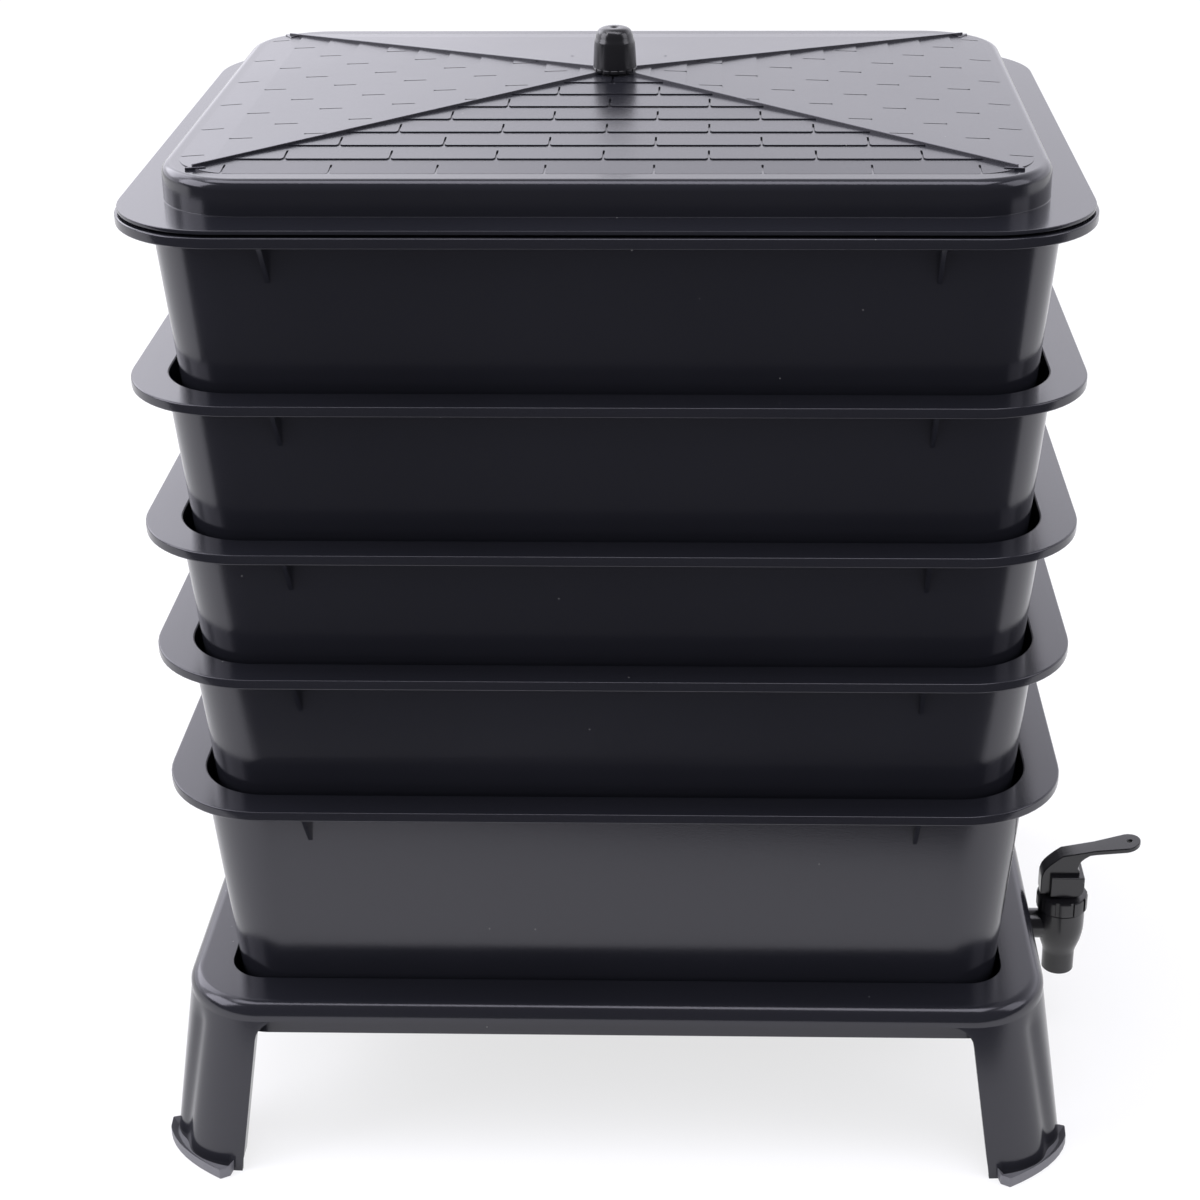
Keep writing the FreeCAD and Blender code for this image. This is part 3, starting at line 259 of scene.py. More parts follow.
SPRING_STEPS = 20                 # to a turn

LEVER_FOOT = 81.1                 # places in the lever are from the tap's middle, heights from the floor
LEVER_BACK = -12.2
BLOCK_FROM = -7.4
BLOCK_TOP = 92.5
BLOCK_WIDTH = 16.0
CAM_MIDDLE = 5.3
CAM_RADIUS = 4.5                  # the block's edge that rolls on the collar
SLOT_LOW = (-5.2, -3.3, 79.0)     # slot for the stem
SLOT_HIGH = (7.2, 3.3, 91.6)
ARM_START = (0.3, 104.3)          # a place on its top, and the height there
ARM_SLOPE = 0.187
ARM_END = 16.0
ARM_THICKNESS = 2.6
ARM_WIDTH = 10.0
PADDLE_START = 15.0
PADDLE_MIDDLE = 30.7
PADDLE_RADIUS = 7.3
HOLE_X = 32.4                     # the hole through the paddle
HOLE_RADIUS = 1.25
HOLE_HEIGHTS = (100.0, 120.0)

SUMP_LOW = (142.5, TAP_Y - 34.5, 42.0)
SUMP_HIGH = (191.0, TAP_Y + 34.5, 79.5)
SUMP_ROUND = 6.0
SUMP_WALL = 2.5
SUMP_DEPTH = 35.0
WELL_HEIGHTS = (50.0, 77.0)       # of the hole in the basin's floor above the sump


# Selecting and shaping

def clear_selection():
    """Leaves edit mode with nothing selected."""
    if bpy.context.mode != "OBJECT":
        bpy.ops.object.mode_set(mode="OBJECT")
    bpy.ops.object.select_all(action="DESELECT")


def make_active(obj):
    """Selects one object alone."""
    clear_selection()
    obj.select_set(True)
    bpy.context.view_layer.objects.active = obj


def edit(obj):
    """Opens one object in edit mode with nothing in it selected."""
    make_active(obj)
    bpy.ops.object.mode_set(mode="EDIT")
    bpy.ops.mesh.select_all(action="DESELECT")


def leave_edit():
    """Back to object mode."""
    bpy.ops.object.mode_set(mode="OBJECT")


def settle():
    """Takes place, turn and scale of what is selected into its mesh."""
    bpy.ops.object.transform_apply(location=True, rotation=True, scale=True)


def draw_out(shift):
    """In edit mode, extrudes what is selected by a vector."""
    bpy.ops.mesh.extrude_region_move(TRANSFORM_OT_translate={"value": shift})


def face_outwards():
    """In edit mode, turns every face of a closed shape outwards, and the faces of a sheet the same way."""
    bpy.ops.mesh.select_all(action="SELECT")
    bpy.ops.mesh.normals_make_consistent(inside=False)


def face_up(obj, z):
    """Turns a sheet over if its faces at a height look down."""
    level = [face for face in obj.data.polygons if abs(face.center.z - z) < NEAR]
    if sum(face.normal.z for face in level) < 0:
        obj.data.flip_normals()


def pick(kind, test):
    """In edit mode, selects the vertices, edges or faces that pass a test, and returns how many did."""
    bpy.ops.mesh.select_mode(type=kind)
    bpy.ops.mesh.select_all(action="DESELECT")
    mesh = bmesh.from_edit_mesh(bpy.context.edit_object.data)
    parts = {"VERT": mesh.verts, "EDGE": mesh.edges, "FACE": mesh.faces}[kind]
    found = [part for part in parts if test(part)]
    for part in found:
        part.select_set(True)
    mesh.select_flush_mode()
    bmesh.update_edit_mesh(bpy.context.edit_object.data)
    return len(found)


def move_vertices(test, shift):
    """In edit mode, moves each vertex that passes a test by what shift returns for its place."""
    mesh = bmesh.from_edit_mesh(bpy.context.edit_object.data)
    for vertex in mesh.verts:
        if test(vertex.co):
            vertex.co = vertex.co + Vector(shift(vertex.co))
    bmesh.update_edit_mesh(bpy.context.edit_object.data)


def level_edge(z):
    """A test for edges that lie level at a height."""
    return lambda edge: all(abs(vertex.co.z - z) < NEAR for vertex in edge.verts)


def metres(point):
    """A point or shift in millimetres, in metres."""
    return [value * MM for value in point]


def within(co, half):
    """Whether a point lies in the rectangle of a half width and half depth in millimetres."""
    return all(abs(value) < size * MM + SLACK for value, size in zip(co, half))


def outline_face(name, half, radius, z, segments):
    """A level face with round corners, left in edit mode; sizes in millimetres."""
    clear_selection()
    bpy.ops.mesh.primitive_plane_add(size=2, location=(0, 0, z * MM))
    obj = bpy.context.active_object
    obj.name = name
    obj.scale = (half[0] * MM, half[1] * MM, 1)
    settle()
    edit(obj)
    bpy.ops.mesh.select_all(action="SELECT")
    bpy.ops.mesh.bevel(offset_type="OFFSET", offset=radius * MM, segments=segments, profile=0.5,
                       affect="VERTICES")
    return obj


def flat_shape(name, points, depth):
    """A closed outline through points in millimetres, drawn out by the vector depth."""
    clear_selection()
    bpy.ops.mesh.primitive_circle_add(vertices=len(points), radius=1, fill_type="NGON")
    obj = bpy.context.active_object
    obj.name = name
    edit(obj)
    mesh = bmesh.from_edit_mesh(obj.data)
    mesh.verts.ensure_lookup_table()
    for vertex, point in zip(mesh.verts, points):
        vertex.co = metres(point)
    bmesh.update_edit_mesh(obj.data)
    bpy.ops.mesh.select_all(action="SELECT")
    draw_out(metres(depth))
    face_outwards()
    leave_edit()
    return obj


def turned(name, profile, place, segments=48):
    """A turned solid from (radius, height) pairs in millimetres, foot first, closed at both ends."""
    clear_selection()
    x, y = place[0] * MM, place[1] * MM
    bpy.ops.mesh.primitive_circle_add(vertices=segments, radius=profile[0][0] * MM, fill_type="NGON",
                                      location=(x, y, profile[0][1] * MM))
    obj = bpy.context.active_object
    obj.name = name
    settle()
    edit(obj)
    bpy.ops.mesh.select_all(action="SELECT")
    for (before, low), (radius, high) in zip(profile, profile[1:]):
        draw_out((0, 0, (high - low) * MM))
        grow = radius / before
        bpy.ops.transform.resize(value=(grow, grow, 1), center_override=(x, y, high * MM))
    face_outwards()
    leave_edit()
    return obj


def block(name, low, high):
    """A box between two corners given in millimetres."""
    clear_selection()
    middle = [(a + b) / 2 * MM for a, b in zip(low, high)]
    size = [(b - a) * MM for a, b in zip(low, high)]
    bpy.ops.mesh.primitive_cube_add(size=1, location=middle)
    obj = bpy.context.active_object
    obj.name = name
    obj.scale = size
    settle()
    return obj


def joined(name, pieces):
    """Several objects made one."""
    make_active(pieces[0])
    for piece in pieces:
        piece.select_set(True)
    bpy.ops.object.join()
    pieces[0].name = name
    return pieces[0]


def copy_of(obj, name, mirror=(1, 1)):
    """A copy with its own mesh, mirrored across where mirror holds a -1 for x or y."""
    make_active(obj)
    bpy.ops.object.duplicate()
    twin = bpy.context.active_object
    twin.name = name
    twin.data = twin.data.copy()
    twin.data.transform(Matrix.Diagonal(Vector((*mirror, 1, 1))))
    if mirror[0] * mirror[1] < 0:
        twin.data.flip_normals()
    return twin


def in_four_corners(name, obj):
    """An object and its mirror images in the other three corners, made one."""
    return joined(name, [obj] + [copy_of(obj, name, mirror) for mirror in ((-1, 1), (1, -1), (-1, -1))])


def modify(obj, kind, **settings):
    """Gives an object a modifier with its settings, and applies it."""
    make_active(obj)
    bpy.ops.object.modifier_add(type=kind)
    modifier = obj.modifiers[-1]
    for name, value in settings.items():
        setattr(modifier, name, value)
    bpy.ops.object.modifier_apply(modifier=modifier.name)


def thicken(obj, thickness):
    """Gives a sheet its wall, behind its faces."""
    modify(obj, "SOLIDIFY", thickness=thickness * MM, offset=-1, use_even_offset=True)


def round_edges(obj, width, segments=2, angle=40):
    """Rounds every edge sharper than an angle; the width is in metres."""
    modify(obj, "BEVEL", width=width, segments=segments, limit_method="ANGLE",
           angle_limit=math.radians(angle), use_clamp_overlap=True)


def cut_away(obj, cutter, operation="DIFFERENCE"):
    """Takes one closed shape out of another, or keeps only what is inside it, and deletes it."""
    modify(obj, "BOOLEAN", operation=operation, solver="EXACT", use_self=True, object=cutter)
    bpy.data.objects.remove(cutter, do_unlink=True)


def notch_round(obj, low, high, count, place=(0, 0), start=0.0):
    """Cuts even notches round a turned piece, each a box between two corners in millimetres."""
    notches = []
    for index in range(count):
        turn = Matrix.Rotation(2 * math.pi * (index + start) / count, 4, "Z")
        notch = block("notch", low, high)
        notch.data.transform(Matrix.Translation((place[0] * MM, place[1] * MM, 0)) @ turn)
        notches.append(notch)
    cut_away(obj, joined("notches", notches))


def finish_piece(obj, body, material, replaced=(), smooth=35):
    """Shades a finished piece, gives it its material and slot, and fixes it to its body if it has one."""
    make_active(obj)
    settle()
    bpy.ops.object.shade_smooth_by_angle(angle=math.radians(smooth))
    modify(obj, "WEIGHTED_NORMAL", keep_sharp=True)
    obj.data.materials.clear()
    obj.data.materials.append(bpy.data.materials[material])
    if body:
        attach(obj, body)
    if replaced:
        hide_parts(*replaced)


# Materials

class Value:
    """An output socket; arithmetic on it adds Math nodes."""

    def __init__(self, tree, socket):
        self.tree = tree
        self.socket = socket

    def math(self, operation, first, second):
        """A Math node on two values or numbers."""
        node = self.tree.nodes.new("ShaderNodeMath")
        node.operation = operation
        for index, value in enumerate((first, second)):
            if isinstance(value, Value):
                self.tree.links.new(value.socket, node.inputs[index])
            else:
                node.inputs[index].default_value = value
        return Value(self.tree, node.outputs[0])

    def __add__(self, other):
        return self.math("ADD", self, other)

    def __radd__(self, other):
        return self.math("ADD", other, self)

    def __sub__(self, other):
        return self.math("SUBTRACT", self, other)

    def __rsub__(self, other):
        return self.math("SUBTRACT", other, self)

    def __mul__(self, other):
        return self.math("MULTIPLY", self, other)

    def __rmul__(self, other):
        return self.math("MULTIPLY", other, self)

    def __lt__(self, other):
        return self.math("LESS_THAN", self, other)

    def clamped(self):
        return self.math("MINIMUM", self.math("MAXIMUM", self, 0.0), 1.0)

    def beside(self, output):
        """Another output of the same node."""
        return Value(self.tree, self.socket.node.outputs[output])


class Nodes:
    """A node tree being filled."""

    def __init__(self, tree):
        self.tree = tree

    def node(self, kind, settings, sockets, output=0):
        """Adds a node: its settings first, then the values or links of its sockets, by name or number."""
        node = self.tree.nodes.new(kind)
        for name, value in settings.items():
            setattr(node, name, value)
        for name, value in sockets.items():
            self.put(node.inputs[name], value)
        return Value(self.tree, node.outputs[output])

    def put(self, socket, value):
        """Links a value to a socket, or sets a number or colour on it."""
        if isinstance(value, Value):
            self.tree.links.new(value.socket, socket)
        else:
            socket.default_value = value

    def mix(self, factor, first, second):
        """A blend of two colours."""
        return self.node("ShaderNodeMix", {"data_type": "RGBA"}, {0: factor, 6: first, 7: second}, 2)

    def rays(self):
        """1 for camera rays, for reflected rays and for rays through glass."""
        path = self.node("ShaderNodeLightPath", {}, {})
        return [path.beside(name) for name in RAYS]


class Finish(Nodes):
    """A material being made from nodes."""

    def __init__(self, name):
        self.material = bpy.data.materials.new(name)
        self.material.use_nodes = True
        super().__init__(self.material.node_tree)
        self.shader = self.tree.nodes["Principled BSDF"]

    def set(self, **sockets):
        """Sets sockets of the shader; an underscore stands for a space."""
        for name, value in sockets.items():
            self.put(self.shader.inputs[name.replace("_", " ")], value)

    def place(self, scale=(1, 1, 1)):
        """Object coordinates, stretched."""
        where = self.node("ShaderNodeTexCoord", {}, {}, "Object")
        return self.node("ShaderNodeMapping", {}, {"Vector": where, "Scale": scale})

    def noise(self, scale, detail=2.0, stretch=(1, 1, 1)):
        """Soft noise from 0 to 1."""
        return self.node("ShaderNodeTexNoise", {},
                         {"Vector": self.place(stretch), "Scale": scale, "Detail": detail})

    def specks(self, share):
        """1 inside sparse round specks of dust, 0 outside them."""
        cells = self.node("ShaderNodeTexVoronoi", {}, {"Vector": self.place(), "Scale": SPECKS}, "Distance")
        chance = self.node("ShaderNodeSeparateColor", {}, {"Color": cells.beside("Color")})
        return (cells < SPECK_SIZE) * (chance < share)

    def bump(self, height, strength, distance):
        """A normal from a height."""
        return self.node("ShaderNodeBump", {}, {"Height": height, "Strength": strength, "Distance": distance})


def colour(values):
    """An opaque colour from three numbers."""
    return (values[0], values[1], values[2], 1.0)


def moulded_plastic(name, base, tint=WHITE):
    """Moulded plastic or rubber: fine grain, faint clouding, a few dust specks."""
    roughness, grain, dust, level = MOULDED[name]
    finish = Finish(name)
    clouds = finish.noise(CLOUDS, 3.0)
    fine = finish.noise(GRAIN)
    speck = finish.specks(dust)
    shade = finish.mix(clouds, colour(base), colour([value * CLOUD_TONE for value in base]))
    finish.set(Base_Color=finish.mix(speck, shade, DUST),
               Roughness=roughness + (clouds - 0.5) * CLOUD_ROUGHNESS + speck * DUST_ROUGHNESS,
               Normal=finish.bump(fine + clouds * CLOUD_HEIGHT, grain, GRAIN_DEPTH),
               Specular_IOR_Level=level, Specular_Tint=tint)
    return finish


# Settings

def colour_setting(name, description, default):
    """A colour that a user can change."""
    return bpy.props.FloatVectorProperty(name=name, description=description, subtype="COLOR", size=3,
                                         min=0, max=1, default=default)


def length_setting(name, description, least, most, default):
    """A length that a user can change."""
    return bpy.props.FloatProperty(name=name, description=description, unit="LENGTH",
                                   min=least, max=most, default=default)


class WormeryColours(bpy.types.PropertyGroup):
    """Colours of the finishes."""
    plastic: colour_setting("Plastic", "Colour of lid, trays and stand", (0.0085, 0.0088, 0.0115))
    gloss: colour_setting("Gloss plastic", "Colour of knob and tap", (0.007, 0.007, 0.008))
    rubber: colour_setting("Rubber", "Colour of washers and seal", (0.018, 0.017, 0.016))
    steel: colour_setting("Steel", "Colour of screw, pin and spring", (0.55, 0.55, 0.56))
    light: colour_setting("Light", "Tint of the light", (0.93, 0.92, 1.0))
    floor: colour_setting("Floor", "Colour of the floor", (0.92, 0.92, 0.93))


class WormerySizes(bpy.types.PropertyGroup):
    """Sizes that a user would change."""
    edge: length_setting("Edge", "Rounding of the lid's edges", 0.0001, 0.001, 0.0005)
    rim_edge: length_setting("Rim edge", "Rounding of the trays' edges", 0.0002, 0.0009, 0.0008)
    slit_width: length_setting("Slit width", "Width of the slits between roof tiles", 0.0003, 0.002, 0.0009)
    corner_steps: bpy.props.IntProperty(name="Corner steps", min=6, max=32, default=16,
                                        description="Faces round each corner of trays and lid")


# Finishes

class WORMERY_OT_finishes(bpy.types.Operator):
    """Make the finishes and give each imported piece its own"""
    bl_idname = "wormery.finishes"
    bl_label = "Finishes"

    def execute(self, context):
        colours = context.scene.wormery_colours
        moulded_plastic("tile_plastic", colours.plastic, SHEEN)
        # the feet: gloss plastic lightened, a painted reflection of the floor
        moulded_plastic("feet_painted_light_plastic", [value * FEET_PAINTED_LIGHT_TONE + FEET_PAINTED_LIGHT_GREY for value in colours.gloss])
        steel = Finish("brushed_steel_wire")
        streaks = steel.noise(STREAKS, stretch=STREAK_STRETCH)
        least, more = STEEL_ROUGHNESS
        steel.set(Base_Color=colour(colours.steel), Metallic=1.0, Roughness=least + streaks * more)
        finishes = {
            "body_plastic": moulded_plastic("satin_plastic", colours.plastic, SHEEN),
            "gloss_plastic": moulded_plastic("gloss_black_plastic", colours.gloss),
            "rubber": moulded_plastic("black_rubber", colours.rubber),
            "steel": steel,
        }
        for part in frame["record"]["subparts"]:
            node = frame["nodes"][part["node"]]
            node.data.materials.clear()
            node.data.materials.append(finishes[part["material_slot"]].material)
        return {"FINISHED"}


# Trays

def web(name, along, side, profile, offset, thickness):
    """An upright web across a wall; profile holds (distance from the middle, height) pairs."""
    start = offset - thickness / 2
    if along == "X":
        return flat_shape(name, [(side * a, start, z) for a, z in profile], (0, thickness, 0))
    return flat_shape(name, [(start, side * a, z) for a, z in profile], (thickness, 0, 0))


def fins(foot, shelf, wall_at, edges):
    """Four webs, one in the middle of each wall, that carry the tray above by its underside's edges."""
    made = []
    for axis, along in enumerate("XY"):
        edge = edges[axis]
        top = shelf + FIN_UPSTAND
        stop = edge + FIN_CLEARANCE
        profile = ((edge - FIN_SHELF, foot), (edge - FIN_SHELF, shelf), (stop, shelf),
                   (stop + TRAY_TAPER * FIN_UPSTAND, top), (wall_at(axis, top) + OVERLAP, top),
                   (wall_at(axis, foot) + OVERLAP, foot))
        made += [web("fin", along, side, profile, 0, FIN_THICKNESS) for side in (-1, 1)]
    return made


def tray_edges():
    """Half width and half depth of a tray's underside."""
    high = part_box("tray_5")[1]
    shrink = TRAY_TAPER * TRAY_HEIGHT
    reach = RIM_TO_INSIDE - TRAY_WALL
    return [high[axis] / MM - reach - shrink for axis in range(2)]


class WORMERY_OT_trays(bpy.types.Operator):
    """Model the five nesting trays with their rims, webs and drained floors"""
    bl_idname = "wormery.trays"
    bl_label = "Trays"

    def shell(self, sizes):
        """The tray's sheet: rim, tapering wall and floor, standing on height zero."""
        obj = outline_face("tray_shell", RIM_HALF, RIM_RADIUS, TRAY_HEIGHT, sizes.corner_steps)
        bpy.ops.mesh.inset(thickness=RIM_TO_INSIDE * MM, depth=0, use_boundary=True)
        depth = (TRAY_HEIGHT - TRAY_WALL) * MM
        bpy.ops.mesh.inset(thickness=depth * TRAY_TAPER, depth=-depth)
        pick("EDGE", lambda edge: edge.is_boundary)
        draw_out((0, 0, -RIM_LIP * MM))
        face_outwards()
        leave_edit()
        face_up(obj, TRAY_HEIGHT * MM)
        thicken(obj, TRAY_WALL)
        round_edges(obj, sizes.rim_edge, 3)
        return obj

    def gussets(self):
        """Thin webs between the long walls and the rim."""
        foot = TRAY_HEIGHT - GUSSET_DROP
        top = TRAY_HEIGHT - TRAY_WALL / 2
        wall = RIM_HALF[1] - RIM_TO_INSIDE + TRAY_WALL - TRAY_TAPER * (TRAY_HEIGHT - foot)
        lip = RIM_HALF[1] - TRAY_WALL
        profile = ((wall - OVERLAP, foot), (wall, foot), (lip, TRAY_HEIGHT - RIM_LIP + GUSSET_LIFT),
                   (lip, top), (wall - OVERLAP, top))
        return [web("gusset", "Y", side, profile, x, GUSSET_THICKNESS)
                for side in (-1, 1) for x in (-GUSSET_X, GUSSET_X)]

    def slots(self):
        """Cutters for the six drain slots in the floor."""
        cutters = []
        for x in (-SLOT_PITCH[0], 0.0, SLOT_PITCH[0]):
            for y in (-SLOT_PITCH[1] / 2, SLOT_PITCH[1] / 2):
                cutters.append(block("slot", (x - SLOT_HALF[0], y - SLOT_HALF[1], -CUT),
                                     (x + SLOT_HALF[0], y + SLOT_HALF[1], TRAY_WALL + CUT)))
        return joined("slots", cutters)

    def execute(self, context):
        edges = tray_edges()
        shell = self.shell(context.scene.wormery_sizes)
        cut_away(shell, self.slots())
        plain = joined("tray_plain", [shell] + self.gussets())
        feet = [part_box(name)[0][2] / MM for name in TRAYS]

        def wall_at(axis, z):
            return edges[axis] - TRAY_WALL + TRAY_TAPER * z
        for index, name in enumerate(TRAYS):
            carrier = max(index, 1)
            shelf = feet[carrier - 1] - feet[carrier] - FIN_SEAT
            webs = fins(TRAY_WALL - OVERLAP, shelf, wall_at, edges)
            tray = joined(name + "_moulding", [copy_of(plain, name + "_moulding")] + webs)
            tray.data.transform(Matrix.Translation((0, 0, feet[index] * MM)))
            finish_piece(tray, name, "satin_plastic", (name,))
        bpy.data.objects.remove(plain, do_unlink=True)
        return {"FINISHED"}


# Lid

class WORMERY_OT_lid(bpy.types.Operator):
    """Model the lid: flange, raised top, tiled hip roof and its ribs"""
    bl_idname = "wormery.lid"
    bl_label = "Lid"

    def shell(self, sizes):
        """Flange and raised top as one sheet with its wall."""
        rings = []
        for half, radius in ((LID_HALF, LID_RADIUS), (PLATEAU_HALF, PLATEAU_RADIUS)):
            rings.append(outline_face("ring", half, radius, LID_TOP, sizes.corner_steps))
            bpy.ops.mesh.delete(type="ONLY_FACE")
            leave_edit()
        shell = joined("lid_shell", rings)
        edit(shell)
        bpy.ops.mesh.select_mode(type="EDGE")
        bpy.ops.mesh.select_all(action="SELECT")
        bpy.ops.mesh.bridge_edge_loops()
        pick("EDGE", lambda edge: edge.is_boundary and all(within(v.co, PLATEAU_HALF) for v in edge.verts))
        draw_out((0, 0, (PLATEAU_TOP - LID_TOP) * MM))
        bpy.ops.mesh.edge_face_add()
        pick("EDGE", level_edge(PLATEAU_TOP * MM))
        bpy.ops.mesh.bevel(offset_type="OFFSET", offset=PLATEAU_ROUND * MM, segments=6, profile=0.5,
                           affect="EDGES")
        face_outwards()
        leave_edit()
        face_up(shell, PLATEAU_TOP * MM)
        thicken(shell, LID_WALL)
        round_edges(shell, sizes.edge)
        return shell

    def courses(self, span):
        """Each course of one roof face as (lower edge, upper edge), distances from the ridge."""
        found = []
        lower = span
        while lower > 0:
            upper = max(lower - COURSE_PITCH, 0.0)
            found.append((lower, upper))
            lower = upper
        return found

    def slit(self, across, place, lower, height):
        """A cutter for the gap between two tiles, flared where their corners are rounded."""
        half = bpy.context.scene.wormery_sizes.slit_width / 2 / MM
        side = [(half, SLIT_LENGTH)] + [(half + wider, inward) for wider, inward in SLIT_FLARE]
        outline = side + [(-a, b) for a, b in reversed(side)]
        rise = (ROOF_APEX - ROOF_EAVES) / ROOF_HALF[1] * SLIT_FOLLOW
        points = []
        for a, inward in outline:
            z = height - COURSE_STEP - SLIT_SINK + max(inward, 0.0) * rise
            if across == "Y":
                points.append((place + a, inward - lower, z))
            else:
                points.append((lower - inward, place + a, z))
        return flat_shape("slit", points, (0, 0, SLIT_DEPTH))

    def panel(self, name, across, places=((), ())):
        """One face of the roof: stepped courses, cut off along the hips, with slits if places are given."""
        span, length = (ROOF_HALF[1], ROOF_HALF[0]) if across == "Y" else ROOF_HALF
        slope = (ROOF_APEX - ROOF_EAVES) / span
        courses = self.courses(span)
        foot = PLATEAU_TOP - ROOF_SUNK
        line = [(span, foot)]
        for lower, upper in courses:
            line.append((lower, ROOF_APEX - slope * lower if lower < span else PLATEAU_TOP + EAVES_RISE))
            line.append((upper, ROOF_APEX - slope * upper - (COURSE_STEP if upper else 0.0)))
        line.append((0.0, foot))
        if across == "Y":
            roof = flat_shape(name, [(-length, -a, z) for a, z in line], (2 * length, 0, 0))
        else:
            roof = flat_shape(name, [(a, -length, z) for a, z in line], (0, 2 * length, 0))
        hip = math.atan2(ROOF_HALF[1], ROOF_HALF[0])
        for side in (-1, 1):
            edit(roof)
            bpy.ops.mesh.select_all(action="SELECT")
            if across == "Y":
                normal = (side * math.sin(hip), math.cos(hip), 0)
            else:
                normal = (-math.sin(hip), side * math.cos(hip), 0)
            bpy.ops.mesh.bisect(plane_co=(0, 0, 0), plane_no=normal, use_fill=True, clear_outer=True)
            leave_edit()
        cutters = []
        for index, (lower, upper) in enumerate(courses):
            for place in places[index % 2]:
                if abs(place) < length * (lower - SLIT_LENGTH / 2) / span and upper > 0:
                    cutters.append(self.slit(across, place, lower, ROOF_APEX - slope * lower))
        if cutters:
            cut_away(roof, joined("slits", cutters))
        keeper = outline_face("keeper", ROOF_HALF, ROOF_RADIUS, KEEPER_FOOT, 12)
        bpy.ops.mesh.select_all(action="SELECT")
        draw_out((0, 0, KEEPER_HEIGHT * MM))
        face_outwards()
        leave_edit()
        cut_away(roof, keeper, "INTERSECT")
        return roof

    def hip_rib(self):
        """The rib along the front right hip with its pointed end."""
        length = math.hypot(*HIP_END)
        slope = (ROOF_APEX - ROOF_EAVES) * HIP_END[0] / ROOF_HALF[0] / length
        high, low = ROOF_APEX - slope * RIB_START, ROOF_APEX - slope * length
        line = ((RIB_START, high + RIB_HEIGHT), (length, low + RIB_HEIGHT), (length, low - RIB_SUNK),
                (RIB_START, high - RIB_SUNK))
        rib = flat_shape("rib", [(s, -RIB_WIDTH / 2, z) for s, z in line], (0, RIB_WIDTH, 0))
        arrow = [(length + a, b, PLATEAU_TOP - RIB_POINT_SUNK) for a, b in RIB_POINT]
        rib = joined("rib", [rib, flat_shape("arrow", arrow, (0, 0, RIB_POINT_HEIGHT))])
        rib.data.transform(Matrix.Rotation(-math.atan2(HIP_END[1], HIP_END[0]), 4, "Z"))
        round_edges(rib, RIB_EDGE * MM, 1)
        return rib

    def catches(self):
        """Blocks under the flange that sit on the top tray's rim and inside its wall."""
        made = []
        low = LID_TOP - LID_WALL
        top = low + CATCH_SUNK
        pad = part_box("tray_1")[1][2] / MM + FIN_SEAT
        for along, half in zip("XY", RIM_HALF):
            outer = half - RIM_TO_INSIDE - CATCH_GAP
            inner, over = outer - CATCH_REACH[0], outer + CATCH_REACH[1]
            profile = ((inner, low - CATCH_DROP), (outer, low - CATCH_DROP), (outer, pad), (over, pad),
                       (over, top), (inner, top))
            made += [web("catch", along, side, profile, 0, CATCH_LENGTH) for side in (-1, 1)]
        return made

    def execute(self, context):
        shell = joined("lid_shell", [self.shell(context.scene.wormery_sizes)] + self.catches())
        hole = [(SCREW_HOLE_RADIUS, z) for z in (PLATEAU_TOP - CUT, PLATEAU_TOP + CUT)]
        cut_away(shell, turned("hole", hole, (0, 0), 24))
        finish_piece(shell, "lid", "satin_plastic", ("lid",))
        front = self.panel("lid_tiles_front", "Y", LONG_SLITS)
        right = self.panel("lid_tiles_right", "X", SHORT_SLITS)
        back = self.panel("lid_tiles_back", "Y")
        vent = [(VENT_RADIUS, z) for z in (VENT_FOOT, ROOF_APEX + CUT)]
        vents = [turned("vent", vent, (side * VENT_AT[0], -VENT_AT[1]), 12) for side in (-1, 1)]
        cut_away(back, joined("vents", vents))
        back.data.transform(Matrix.Rotation(math.pi, 4, "Z"))
        left = copy_of(right, "lid_tiles_left", (-1, 1))
        for piece in (front, back, left, right, in_four_corners("lid_hip_ribs", self.hip_rib())):
            finish_piece(piece, "lid", "tile_plastic")
        return {"FINISHED"}


# Knob

class WORMERY_OT_knob(bpy.types.Operator):
    """Model the lid's knob with its notched foot and dimpled top"""
    bl_idname = "wormery.knob"
    bl_label = "Knob"

    def execute(self, context):
        foot = ROOF_APEX
        knob, collar = (turned(name, [(radius, foot + z) for radius, z in outline], (0, 0), 64)
                        for name, outline in (("knob_turning", KNOB_OUTLINE), ("knob_foot", KNOB_COLLAR)))
        low, high = ((x, y, foot + z) for x, y, z in KNOB_NOTCH)
        notch_round(collar, low, high, KNOB_NOTCHES, start=0.5)
        finish_piece(collar, "lid", "gloss_black_plastic", smooth=30)
        finish_piece(knob, "lid", "gloss_black_plastic", ("lid_knob",), smooth=50)
        return {"FINISHED"}


# Stand

